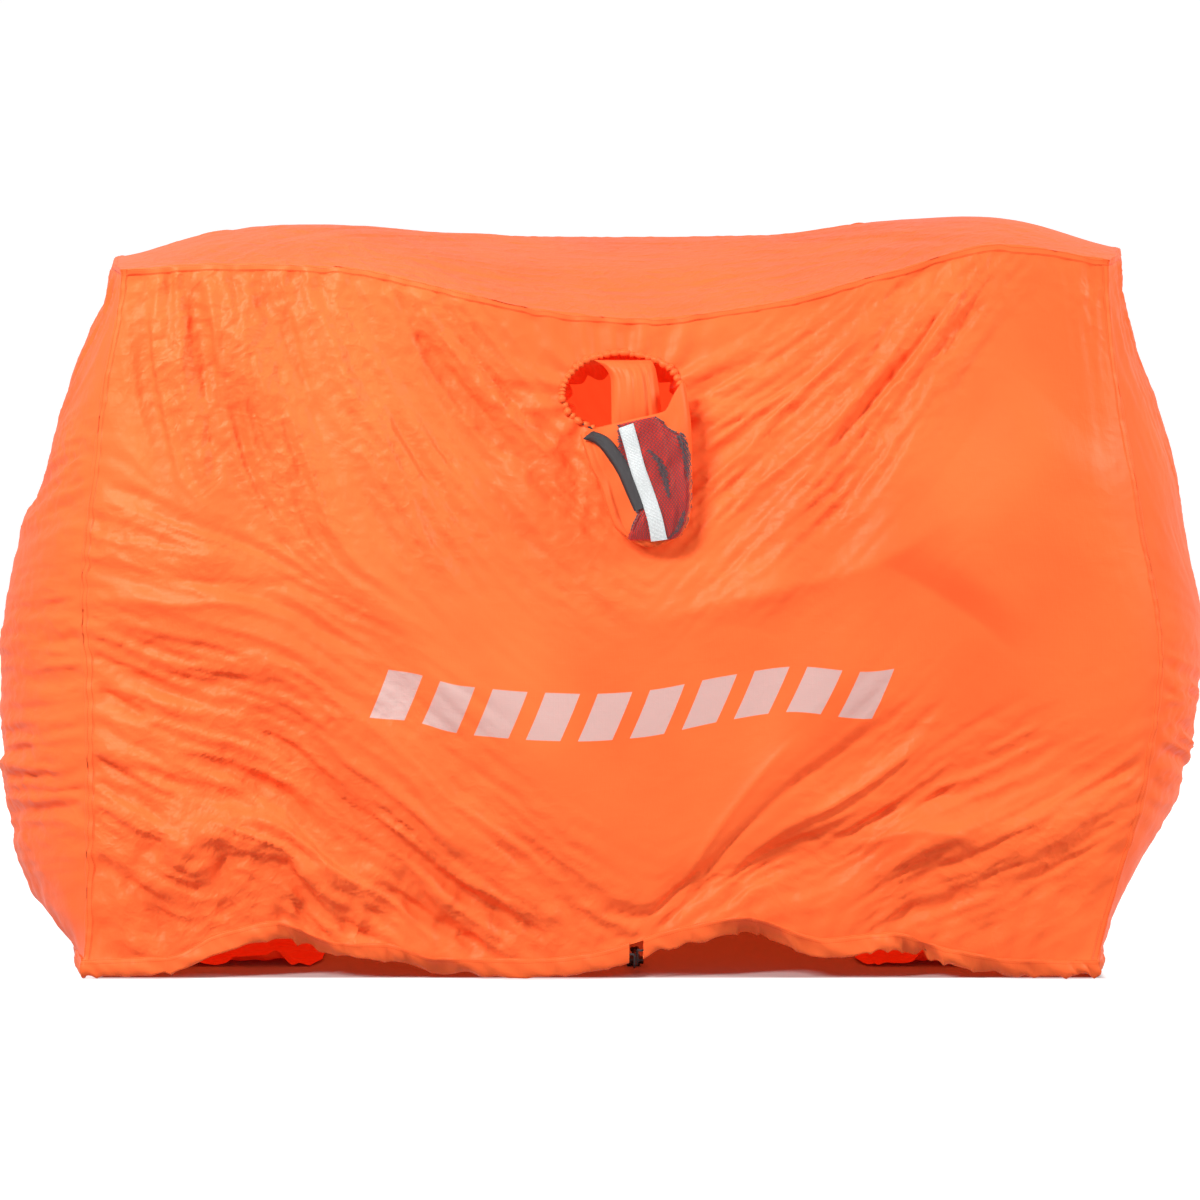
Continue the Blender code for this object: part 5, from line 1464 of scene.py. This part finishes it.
def seen_directly(wires):
    """1 for what the camera, a mirror or glass shows, 0 for light that falls on things."""
    rays = wires.node("LightPath").outputs
    shown = wires.math("MAXIMUM", rays["Is Camera Ray"], rays["Is Glossy Ray"])
    return wires.math("MAXIMUM", shown, rays["Is Transmission Ray"])


def outside_hem(wires):
    """1 on the open floor, 0 on the floor that the shelter stands over."""
    parts = wires.parts(wires.node("NewGeometry").outputs["Position"])
    past = [
        wires.math("SUBTRACT", wires.math("ABSOLUTE", parts[axis]), half)
        for axis, half in (("X", HEM_REACH), ("Y", HEM_DEPTH / 2))
    ]
    low, high = FLOOR_EDGE
    share = wires.node("MapRange", Value=wires.math("MAXIMUM", *past), From_Min=low, From_Max=high)
    return share.outputs[0]


def make_studio():
    world = bpy.data.worlds.new("studio")
    bpy.context.scene.world = world
    wires = Wires(world)
    light = wires.node("MapRange", Value=seen_directly(wires), To_Min=WORLD_LIGHT).outputs[0]
    wires.fill(wires.nodes["Background"], Strength=light, Color=WHITE)

    depth = [(FLOOR_FRONT, 0), (FLOOR_REAR, 0)]
    for turn in np.linspace(0, math.pi / 2, 12)[1:]:
        depth.append((FLOOR_REAR + FLOOR_BEND * math.sin(turn), FLOOR_BEND - FLOOR_BEND * math.cos(turn)))
    depth.append((FLOOR_REAR + FLOOR_BEND, FLOOR_TOP))
    points = [(x, y, z) for y, z in depth for x in (-FLOOR_HALF, FLOOR_HALF)]
    wires = material_wires("studio_floor")
    lift = wires.math("MULTIPLY", seen_directly(wires), FLOOR_LIFT)
    wires.fill(wires.nodes["Principled BSDF"], Base_Color=FLOOR_GREY, Roughness=FLOOR_ROUGH,
               Specular_IOR_Level=0.0, Emission_Color=WHITE,
               Emission_Strength=wires.math("MULTIPLY", lift, outside_hem(wires)))
    faces = grid_faces(np.arange(len(points)).reshape(-1, 2))
    make_piece("studio_floor", points, faces, wires.owner)


# Pieces sewn to the cloth

def wobble(random, along, pitch):
    """Smooth noise of spread 1 along a line, with a value every pitch."""
    knots = random.normal(size=int(along[-1] / pitch) + 3)
    place = along / pitch
    i = place.astype(int)
    part = ease(place - i)
    return knots[i] * (1 - part) + knots[i + 1] * part


def run_lengths(points):
    steps = np.linalg.norm(np.diff(points, axis=0), axis=1)
    return np.concatenate(([0.0], np.cumsum(steps)))


def inside_edge(part, edge, t, depth):
    """Fractions of the point depth metres inside a panel's edge."""
    share = depth / (SPAN[part] if edge[0] == "s" else tall(part))
    across = share if edge[1] == "0" else 1 - share
    return (across, t) if edge[0] == "s" else (t, across)


def places(along, across):
    """Cloth places in metres from two measures, of which one may be a single number."""
    return np.stack(np.broadcast_arrays(along, across), -1)


def loft(name, rows, uvs, material, closed=False, axis=0):
    """A piece through rows of points with their cloth places; closed joins each row's ends."""
    rows, uvs = np.stack(rows, axis), np.stack(uvs, axis)
    ids = np.arange(rows[..., 0].size).reshape(rows.shape[:2])
    if closed:
        ids = np.concatenate((ids, ids[:, :1]), 1)
    return make_piece(name, rows.reshape(-1, 3), grid_faces(ids), material, uvs.reshape(-1, 2))


def make_seam(cloth, name, number, material):
    """A felled seam: a raised band, mostly on one side, puckered by its stitches."""
    wide_part, wide_edge, other_part, other_edge = SEAM_PLACES[name]
    random = np.random.default_rng(SEAM_SEED + number)
    rough = cloth.at(wide_part, *inside_edge(wide_part, wide_edge, np.linspace(0, 1, 40), 0.0))[0]
    t = np.linspace(0, 1, int(run_lengths(rough)[-1] / SEAM_STEP))
    line = cloth.at(wide_part, *inside_edge(wide_part, wide_edge, t, 0.0))[0]
    along = run_lengths(line)
    lift = 1 + SEAM_UNEVEN * wobble(random, along, SEAM_PITCH)
    shift = SEAM_WOBBLE * wobble(random, along, 2 * SEAM_PITCH)
    columns, uvs = [], []
    for offset, height in SEAM_SECTION:
        if offset > 0:
            base, normal = cloth.at(wide_part, *inside_edge(wide_part, wide_edge, t, offset + shift))
        else:
            base, normal = cloth.at(other_part, *inside_edge(other_part, other_edge, t, shift - offset))
        normal = normal / np.linalg.norm(normal, axis=-1, keepdims=True)
        columns.append(base + normal * (height * lift[:, None] if height > 0 else height))
        uvs.append(places(along, offset))
    return loft(name + "_fell", columns, uvs, material, axis=1)


def hem_stations(cloth):
    """Points of the cloth's lower edge from right of the cord gap round to left of it."""
    ends = cloth.at("front", np.array((0.0, 1.0)), 0.0)[0][:, 0]
    gap = [(CORD_GAP_X + side * CORD_GAP / 2 - ends[0]) / (ends[1] - ends[0]) for side in (1, -1)]
    stops = (
        ("front", np.linspace(gap[0], 1, 200)), ("right", np.linspace(0, 1, 150)[1:]),
        ("rear", np.linspace(1, 0, 400)[1:]), ("left", np.linspace(0, 1, 150)[::-1][1:]),
        ("front", np.linspace(0, gap[1], 200)[1:]),
    )
    points, floors = [], []
    for wall, s in stops:
        points.append(cloth.at(wall, s, 0.0)[0])
        floors.append(hem_lift(wall, s))
    return np.concatenate(points), np.concatenate(floors)


def inward_ways(line):
    """Level ways into the shelter along the hem."""
    way = np.gradient(line[:, :2], axis=0)
    for _ in range(3):
        way[1:-1] = (way[:-2] + 2 * way[1:-1] + way[2:]) / 4
    into = np.stack((-way[:, 1], way[:, 0], np.zeros(len(way))), -1)
    return into / np.linalg.norm(into, axis=1, keepdims=True)


def make_casing(cloth, material):
    """The gathered tube of cloth along the hem, and the line of the cord inside it."""
    line, floors = hem_stations(cloth)
    ways = inward_ways(line)
    along = run_lengths(line)
    random = np.random.default_rng(CASING_SEED)
    front = ease((-line[:, 1] - CASING_FRONT) / CASING_FRONT_FADE)
    lean = sum(depth * bell(line[:, 0] - x, reach) for x, depth, reach in CASING_LEANS) * front
    knot = sum(bell(line[:, 0] - x, reach) for x, reach in CASING_KNOTS) * front
    clear = 1 - bell(line[:, 0] - CORD_GAP_X, CASING_CLEAR) * front
    gather = CASING_GATHER * (1 + CASING_KNOT_GAIN * knot) * clear
    pucker = gather * sum(share * wobble(random, along, pitch) for share, pitch in CASING_WAVES)
    pucker = CASING_PUCKER * np.tanh(pucker / CASING_PUCKER)
    lift = np.abs(gather * wobble(random, along, CASING_LIFT_PITCH))
    low = np.maximum(floors + lift, 2 * FLOOR)
    height = line[:, 2] - low
    columns, uvs = [], []
    around = 0.0
    for number, (inwards, up) in enumerate(CASING_SECTION):
        swell = math.sin(math.pi * min(1, max(0, up)))
        folds = np.interp(along + CASING_SLANT * up, along, pucker) * (1 if inwards < 0 else CASING_INNER)
        shift = inwards + folds * swell + lean * (1 - up)
        point = line + ways * shift[:, None]
        point[:, 2] = np.maximum(low + height * up, 2 * FLOOR)
        columns.append(point)
        if number:
            last_in, last_up = CASING_SECTION[number - 1]
            around += math.hypot(inwards - last_in, CASING_HEIGHT * (up - last_up))
        uvs.append(places(along, around))
    casing = loft("hem_casing_cloth", columns, uvs, material, closed=True, axis=1)
    middle = sum(columns[i] for i in CASING_MIDDLE) / len(CASING_MIDDLE)
    return casing, middle


def make_tube(name, points, radius, sides, material, closed=False):
    """A round tube along points, with rounded-off ends."""
    points = np.asarray(points, float)
    ways = np.gradient(points, axis=0)
    if closed:
        ways = np.roll(points, -1, 0) - np.roll(points, 1, 0)
    ways /= np.linalg.norm(ways, axis=1, keepdims=True)
    side = np.cross(ways[0], (0.31, 0.47, 0.83))
    angle = 2 * math.pi * np.arange(sides) / sides
    rows, uvs = [], []
    for here, way, along in zip(points, ways, run_lengths(points)):
        side = side - way * (side @ way)
        side /= np.linalg.norm(side)
        other = np.cross(way, side)
        rows.append(here + radius * (np.cos(angle)[:, None] * side + np.sin(angle)[:, None] * other))
        uvs.append(places(along, angle * radius))
    if closed:
        rows.append(rows[0])
        uvs.append(uvs[-1])
    else:
        for end, at in ((0, 0), (-1, len(rows))):
            tip = points[end] + ways[end] * radius * (0.5 if end else -0.5)
            rows.insert(at, tip + (rows[end] - points[end]) * 0.3)
            uvs.insert(at, uvs[end])
    return loft(name, rows, uvs, material, closed=True)


# Vents

def ring_points(wall, away, offset, angle):
    """Points round a vent: away from its rim line, and outward."""
    centre, across, up, out = vent_frame(wall)
    away, offset, cos, sin = np.broadcast_arrays(away, offset, np.cos(angle), np.sin(angle))
    line = centre + VENT_RING * (cos[..., None] * across)
    line = line + VENT_RING * (1 - VENT_SQUASH + VENT_SQUASH * sin)[..., None] * up
    way = VENT_SQUASH * cos[..., None] * across + sin[..., None] * up
    way /= np.linalg.norm(way, axis=-1, keepdims=True)
    return line + away[..., None] * way + offset[..., None] * out


def pleats(random, angle, count):
    """A cycle round a ring: height from 0 in the valleys to 1, and the pleat's own random number."""
    edges = np.cumsum(random.uniform(0.6, 1.4, count))
    edges = np.concatenate(([0.0], edges / edges[-1]))
    turn = np.mod(angle / (2 * math.pi), 1.0)
    which = np.clip(np.searchsorted(edges, turn, side="right") - 1, 0, count - 1)
    inside = (turn - edges[which]) / (edges[which + 1] - edges[which])
    return np.abs(np.sin(math.pi * inside)) ** 0.9, random.normal(size=count)[which]


def make_rim(wall, material):
    """The gathered cloth round a vent's elastic."""
    angle = circle(RIM_STEPS[0])
    rise, own = pleats(np.random.default_rng(RIM_SEEDS[wall]), angle, RIM_PLEATS)
    least, pleat, varied = RIM_FORM
    radius = RIM_RADIUS * (least + pleat * rise + varied * own)
    aside, outward = RIM_STRAY
    rows, uvs = [], []
    for turn in circle(RIM_STEPS[1]):
        away, offset = aside * own + radius * math.cos(turn), outward * own + radius * math.sin(turn)
        rows.append(ring_points(wall, away, offset, angle))
        uvs.append(places(angle * VENT_RING, turn * RIM_RADIUS))
    rows.append(rows[0])
    uvs.append(uvs[0])
    return loft(wall + "_vent_rim_cloth", rows, uvs, material, closed=True)


def make_elastic(wall, material):
    """The elastic cord inside a rim."""
    angle = circle(ELASTIC_STEPS)
    line = ring_points(wall, 0.0, 0.0, angle)
    return make_tube(wall + "_vent_elastic_cord", line, ELASTIC_RADIUS, 8, material, closed=True)


def make_sleeve(wall, material):
    """The short sleeve of cloth that hangs inwards from a vent's rim."""
    random = np.random.default_rng(SLEEVE_SEEDS[wall])
    angle = circle(SLEEVE_STEPS[0])
    (fine, _), (broad, lean) = (pleats(random, angle, count) for count in SLEEVE_PLEATS)
    fine, broad = fine - 0.5, broad - 0.5
    rows, uvs = [], []
    for f in np.linspace(0, 1, SLEEVE_STEPS[1]):
        away = -SLEEVE_TAPER * f - SLEEVE_FINE * fine * (1 - f) ** 2 - SLEEVE_BROAD * broad * f
        away = away + SLEEVE_LEAN * lean * f - SLEEVE_SAG * np.maximum(0, np.sin(angle)) ** 2 * f * f
        offset = -RIM_RADIUS * (1 - 0.6 * (1 - f) ** 4) - SLEEVE_LENGTH * f * (1 + 0.03 * lean)
        rows.append(ring_points(wall, away, offset + 0.001 * fine, angle))
        uvs.append(places(angle * VENT_RING, f * SLEEVE_LENGTH))
    return loft(wall + "_vent_sleeve_cloth", rows, uvs, material, closed=True)


# Stuff sack

class Sack:
    """The front of the sack as a surface: u from -1 at its left side to 1 at its right, f down it."""

    def __init__(self):
        centre, _, up, out = vent_frame("front")
        self.hinge = centre + up * VENT_RING + out * (RIM_RADIUS + 3 * GAP)
        self.top = self.hinge[2] - SACK_MOUTH_DROP
        self.stations = np.linspace(0, 1.1, 221)
        self.rings = self.cross_sections(self.stations)

    def ring(self, f):
        """Middle, depth place, height and both half sizes of the sack at fractions down it."""
        return [np.interp(f, self.stations, values) for values in self.rings]

    def cross_sections(self, f):
        left, right = follow(SACK_LEFT, f), follow(SACK_RIGHT, f)
        close = np.sqrt(np.clip(1 - (np.maximum(f - 0.84, 0) / 0.16) ** 2, 0, 1))
        middle, half = (left + right) / 2, (right - left) / 2 * (0.25 + 0.75 * close)
        z = self.top - SACK_DROP * f
        depth = SACK_MOUTH_DEPTH + (SACK_TIP_DEPTH - SACK_MOUTH_DEPTH) * f ** 1.5
        s, v = locate("front", middle, seam_height("front", np.array(0.52)) - z)
        wall_y = np.minimum(*(bare_wall("front", s + aside, v)[0][..., 1] for aside in (-0.06, 0.06)))
        y = wall_y - RIM_RADIUS - RIM_CLEAR - depth / 2
        return middle, y, z, half, np.broadcast_to(depth / 2 * (0.15 + 0.85 * close), f.shape)

    def point(self, u, f, proud=0.0, back=False):
        u, f = np.broadcast_arrays(np.asarray(u, float), np.asarray(f, float))
        middle, y, z, half, deep = self.ring(f)
        a = u * math.pi / 2
        level = np.maximum(np.cos(a), 0)
        face = 1 if back else -1
        slump = SACK_FOLD * np.sin(9 * u + 7 * f) * np.cos(3 * u - 11 * f)
        for top, low, wide, height in SACK_FOLDS:
            away = np.abs(u - top - (low - top) * f) / wide
            slump = slump + height * np.exp(-away) * ease(4 * (1 - f) + 0.2)
        x = middle + (half + proud) * np.sin(a)
        lift = follow(SACK_EDGE, u) * (1 - f) ** 2.2
        depth = deep * level ** 0.75 + slump * level ** 0.5 + proud
        return np.stack((x, y + face * depth, z + lift), -1)

    def across(self, x, f):
        """u of the point at x."""
        middle, _, _, half, _ = self.ring(f)
        return np.arcsin(np.clip((x - middle) / half, -0.985, 0.985)) / (math.pi / 2)


def make_sack_body(sack, material):
    """The bag itself, front and back, as one tube that closes at its tip."""
    rows, uvs = [], []
    turn = np.linspace(-1, 3, SACK_STEPS[0], endpoint=False)
    for f in np.linspace(0, 1, SACK_STEPS[1]):
        front = sack.point(np.clip(turn, -1, 1), f)
        back = sack.point(2 - np.clip(turn, 1, 3), f, back=True)
        rows.append(np.where((turn <= 1)[:, None], front, back))
        uvs.append(places(turn * SACK_HALF, f * SACK_DROP))
    return loft("sack_body", rows, uvs, material, closed=True)


def pocket_edges(sack, f):
    """Left and right sides of the red pocket on the sack, gathered by its elastic edge."""
    scallop = POCKET_SCALLOP * np.abs(np.sin(38 * f))
    left, right = follow(POCKET_LEFT, f) + scallop, follow(POCKET_RIGHT, f) - scallop
    return sack.across(left, f), sack.across(right, f)


def make_pocket(sack, material):
    """The red cloth on the sack's front, slightly proud of it."""
    rows, uvs = [], []
    for f in np.linspace(POCKET_TOP, POCKET_LOW, POCKET_STEPS[1]):
        left, right = pocket_edges(sack, np.array(f))
        u = np.linspace(left, right, POCKET_STEPS[0])
        edge = ease(7 * np.minimum(u - left, right - u))
        crumple = POCKET_CRUMPLE * np.sin(21 * u + 13 * f) * np.sin(17 * f - 6 * u)
        rows.append(sack.point(u, f, POCKET_EDGE + (POCKET_PROUD + crumple) * edge))
        uvs.append(places(u * SACK_HALF, f * SACK_DROP))
    return loft("sack_pocket", rows, uvs, material)


def doubled_net(x, f):
    """Where a fold doubles the net."""
    doubled = np.zeros(len(f), bool)
    for line, width in NET_FOLDS:
        along = np.clip((f - line[0][0]) / (line[-1][0] - line[0][0]), 0, 1)
        doubled |= np.abs(x - follow(line, f)) < width / 2 * np.sin(math.pi * along) ** 0.5
    return doubled


def make_net(sack, material):
    """The open net over the pocket: two sets of slanted strands, and more where it is doubled."""
    points, faces = [], []
    pitch = NET_PITCH / NET_HALF
    f = np.arange(POCKET_TOP, POCKET_LOW, NET_STEP)
    left, right = pocket_edges(sack, f)
    for layer in (0, 1):
        wide = NET_STRAND * (1 + NET_HEAVIER * layer) / NET_HALF / 2
        for sign in (1, -1):
            proud = NET_PROUD + NET_LAYER * layer + NET_WEAVE * sign * np.cos(math.pi * np.arange(len(f)))
            for start in np.arange(-NET_REACH + 0.5 * layer * pitch, NET_REACH, pitch):
                u = start + sign * (f - POCKET_TOP) * (NET_SLOPE * SACK_DROP / NET_HALF)
                keep = (u > left) & (u < right)
                if layer:
                    at_side = np.minimum(u - left, right - u) < NET_EDGE
                    keep &= at_side | doubled_net(sack.point(u, f)[:, 0], f)
                base = len(points)
                for pair in zip(sack.point(u - wide, f, proud), sack.point(u + wide, f, proud)):
                    points += pair
                for i in np.flatnonzero(keep[:-1] & keep[1:]):
                    faces.append((base + 2 * i, base + 2 * i + 1, base + 2 * i + 3, base + 2 * i + 2))
    points, faces = np.array(points), np.array(faces)
    used, faces = np.unique(faces, return_inverse=True)
    return make_piece("sack_net", points[used], faces.reshape(-1, 4), material, smooth=False)


def make_band(sack, name, line, width, proud, material, curl=0.0):
    """A flat band on the sack's front along a line of x and f, with both faces."""
    t = np.linspace(0, 1, BAND_STEPS)
    along = np.linspace(0, 1, len(line))
    x, f = (follow(list(zip(along, values)), t) for values in zip(*line))
    z = sack.ring(f)[2]
    z_way, x_way = np.gradient(z), np.gradient(x)
    length = np.hypot(z_way, x_way)
    rows, uvs = [], []
    for off, up in BAND_SECTION:
        px = x - off * width * z_way / length
        pf = f - off * width * x_way / length / SACK_DROP
        u = sack.across(px, pf)
        lift = proud * (0.35 + 0.65 * up) + curl * np.sin(math.pi * (off + 0.5)) * np.sin(math.pi * t)
        rows.append(sack.point(u, pf, lift))
        uvs.append(places(t * BAND_LENGTH, off * width))
    return loft(name, rows, uvs, material, axis=1)


def make_neck(sack, material):
    """The cloth that leads from the vent to the sack."""
    u = np.linspace(-1, 1, NECK_STEPS[0])
    rows, uvs = [], []
    for f in np.linspace(0, 1, NECK_STEPS[1]):
        left, right, behind, under = (follow(line, f) for line in (NECK_LEFT, NECK_RIGHT, NECK_Y, NECK_Z))
        x = (left + right) / 2 + (right - left) / 2 * u
        arch = math.sin(math.pi * min(1, max(0.0, f - 0.1) / 0.9))
        y = sack.hinge[1] + behind - NECK_ARCH * arch * (1 - u * u)
        y = y + NECK_SIDES * np.abs(u) ** 6 * arch
        folds = sum(
            height * bell(u - place - drift * f, reach)
            for height, place, drift, reach in NECK_FOLDS
        ) + NECK_GATHERS * np.sin(26 * u + 3 * f) * (1 - f)
        y = y + folds * (0.3 + 0.7 * arch)
        rows.append(np.stack((x, y, np.full_like(u, sack.hinge[2] + under)), -1))
        uvs.append(places(x, f * NECK_LENGTH))
    return loft("sack_neck_cloth", rows, uvs, material)


# Seats

def make_seat(end, number, material):
    """One seat of laid, rumpled cloth, from the hem over its crease to its free end."""
    side = -1 if end == "left" else 1
    random = np.random.default_rng(SEAT_SEED + number)
    half = SEAT_WIDTH / 2
    inner_face = CLOTH / 2 + CASING_DEPTH / 2 + 4 * GAP
    y = np.linspace(-half, half, SEAT_STEPS[0])
    hem_x = wall_point(end, y / HEM_DEPTH + 0.5, np.zeros_like(y))[:, 0] - side * inner_face
    fold_x = hem_x[0] - side * SEAT_TAB
    far_x = fold_x - side * SEAT_LENGTH
    f = np.linspace(0, 1, SEAT_STEPS[1])[:, None]
    x = hem_x + (far_x - hem_x) * f
    corner = np.maximum(0, np.abs(y) - (half - SEAT_CORNER)) * ease((f - 1) / 0.12 + 1)
    x = x + side * 0.35 * corner
    noise = blurred(blurred(random.normal(size=x.shape), 3.0), 3.0)
    fine = blurred(random.normal(size=x.shape), 1.2)
    noise, fine = noise / noise.std(), fine / fine.std()
    edge = half - np.abs(y)
    z = SEAT_LIFT + SEAT_WAVES * np.abs(noise) + SEAT_GRAIN * fine
    rumple = 0.5 + 0.5 * np.cos(noise * 1.3 + 17 * f)
    front = bell(edge, SEAT_RUMPLE_REACH) * (y < 0)
    z = z + SEAT_RUMPLE * rumple * front * ease(5 * np.minimum(f, 1 - f))
    z = np.maximum(z * ease(f * 12 + 0.3), 2 * FLOOR)
    rows = np.stack((x, np.broadcast_to(y, x.shape), z), -1)
    return loft(end + "_seat_cloth", rows, places(x, y), material), fold_x, side


# Cords

def tail_route(side, start, out_way, low):
    """The points of a tail from the casing through the lock to the knot, as in the solids."""
    straight_y = LOCK_Y + TAIL_END
    hem_y, height = start[1], start[2]
    return [
        start + out_way * GAP,
        start + out_way * (GAP + CORD),
        (CORD_GAP_X + side * 0.0026, hem_y + 0.002, height - 0.0003),
        (CORD_GAP_X + side * 0.0017, hem_y + 0.006, height - 0.002),
        (CORD_GAP_X + side * 0.0016, hem_y + 0.016, height * 0.62 + low * 0.38),
        (CORD_GAP_X + side * 0.0015, hem_y + 0.029, height * 0.24 + low * 0.76),
        (CORD_GAP_X + side * 0.0014, LOCK_Y - 0.039, low * 0.98),
        (CORD_GAP_X + side * 0.0009, LOCK_Y - 0.033, low),
        (CORD_GAP_X, LOCK_Y - 0.027, low),
        (CORD_GAP_X, LOCK_Y, low),
        (CORD_GAP_X, straight_y - 0.02, low),
        (CORD_GAP_X, straight_y, low),
    ]


def smooth_route(route, step):
    """Points about a step apart on a smooth curve through the route's points."""
    route = np.array([tuple(point) for point in route])
    fine = []
    for i in range(len(route) - 1):
        a, b, c = route[max(i - 1, 0)], route[i], route[i + 1]
        d = route[min(i + 2, len(route) - 1)]
        for t in np.arange(12) / 12:
            fine.append(0.5 * (
                2 * b + (c - a) * t + (2 * a - 5 * b + 4 * c - d) * t * t + (3 * b - a - 3 * c + d) * t ** 3
            ))
    fine = np.array(fine + [route[-1]])
    along = run_lengths(fine)
    even = np.linspace(0, along[-1], max(2, round(along[-1] / step)))
    return np.stack([np.interp(even, along, fine[:, axis]) for axis in range(3)], -1)


def gap_end(side):
    """Where the cord leaves the casing beside the gap, and which way."""
    points = []
    for shift in (0.0, 0.01):
        x = CORD_GAP_X + side * (CORD_GAP / 2 + shift)
        ends = wall_point("front", np.array((0.0, 1.0)), np.zeros(2))[:, 0]
        s = np.array((x - ends[0]) / (ends[1] - ends[0]))
        point = wall_point("front", s, np.array(0.0))
        points.append(np.array((point[0], point[1] + CLOTH / 2, hem_lift("front", s) + CASING_HEIGHT / 2)))
    way = points[0] - points[1]
    return points[0], way / np.linalg.norm(way)


def make_knot(place, material):
    """An overhand knot, closed in itself."""
    t = circle(90)
    x, z = np.sin(t) + 2 * np.sin(2 * t), np.cos(t) - 2 * np.cos(2 * t)
    line = np.stack((x, -1.2 * np.sin(3 * t), z), -1) * ((KNOT_RADIUS - KNOT_CORD) / 3.0)
    return make_tube("drawcord_knot_cord", place + line, KNOT_CORD, 10, material, closed=True)


# Dressing

make_camera()
make_studio()
for name, light in LAMPS.items():
    make_lamp(name, *light)

orange = nylon("orange_nylon", ORANGE)
front_orange = nylon("front_nylon", ORANGE, printed)
seam_orange = nylon("seam_tape", ORANGE, stitched)
# The sleeves and seats inside the shelter get the orange with painted shade.
inner = nylon("inner_cloth", SHADED_INNER_ORANGE)
red = nylon("red_lining", RED)
goods = {name: small_goods(name, **look) for name, look in GOODS.items()}


def dress(piece, nodes=(), body="root"):
    """Hides the solids that a piece stands for, and attaches it to the body that carries it."""
    if nodes:
        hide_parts(*nodes)
    if body:
        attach(piece, body)
    return piece


cloth = Cloth()
for part in PANEL_CUTS:
    name = part + "_end" if part in ("left", "right") else part
    material = front_orange if part == "front" else orange
    panel = make_panel(name + "_cloth", part, cloth.skin, cloth.shape, material)
    dress(panel, [name + "_panel"])
seams = {}
for number, name in enumerate(SEAM_PLACES):
    seams[name] = dress(make_seam(cloth, name, number, seam_orange), [name])
casing, cord_line = make_casing(cloth, seam_orange)
dress(casing, ["hem_casing"])
for index, side in ((0, 1), (-1, -1)):
    reach = run_lengths(cord_line)
    away = reach if index == 0 else reach[-1] - reach
    start = gap_end(side)[0]
    cord_line = cord_line + (start - cord_line[index]) * (1 - ease(away / CORD_EASE))[:, None]
dress(make_tube("hem_cord", cord_line, CORD / 2, 8, goods["cord"]), ["hem_drawcord"])

for name, finish in (("barrel", "lock_plastic"), ("plunger", "lock_plastic"), ("spring", "spring_steel")):
    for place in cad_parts["cord_lock_" + name].material_slots:
        place.material = goods[finish]

rims = {}
for wall in VENTS:
    rims[wall] = dress(make_rim(wall, seam_orange), [wall + "_vent_rim"])
    dress(make_elastic(wall, goods["elastic"]), [wall + "_vent_elastic"])
    sleeve = dress(make_sleeve(wall, inner), [wall + "_vent_sleeve"])

for part, around in PANEL_SEAMS.items():
    edging = [seams[name] for name in around] + ([rims[part]] if part in rims else [])
    edging += [casing] if part == "front" else []

sack = Sack()
body = dress(make_sack_body(sack, orange), ["sack_pouch"], "stuff_sack")
pocket = dress(make_pocket(sack, red), ["sack_pouch"], "stuff_sack")
net = dress(make_net(sack, goods["black_mesh"]), ["sack_mesh"], "stuff_sack")
tape = make_band(sack, "sack_tape", WEBBING_LINE, WEBBING_WIDTH, WEBBING_PROUD, goods["reflective_webbing"])
dress(tape, ["sack_webbing"], "stuff_sack")
label = make_band(sack, "sack_label_band", LABEL_LINE, LABEL_WIDTH, LABEL_PROUD, goods["black_label"],
                  LABEL_CURL)
dress(label, ["sack_label"], "stuff_sack")
neck = dress(make_neck(sack, orange), ["sack_neck"], None)
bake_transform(neck)

for number, end in enumerate(("left", "right")):
    seat, fold_x, side = make_seat(end, number, inner)
    dress(seat, [end + "_seat", end + "_seat_tab"], None)
    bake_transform(seat)

height = BARREL_RADIUS + GAP
knot_place = np.array((CORD_GAP_X, LOCK_Y + TAIL_END + GAP + KNOT_RADIUS, height))
knot = dress(make_knot(knot_place, goods["cord"]), ["drawcord_knot"])
for name, side in (("left_drawcord_tail", -1), ("right_drawcord_tail", 1)):
    start, out_way = gap_end(side)
    route = smooth_route(tail_route(side, start, out_way, height + side * CORD_PITCH / 2), CORD)
    tail = dress(make_tube(name + "_cord", route, CORD / 2, 10, goods["cord"]), [name])

bpy.context.scene.view_settings.view_transform = "Standard"
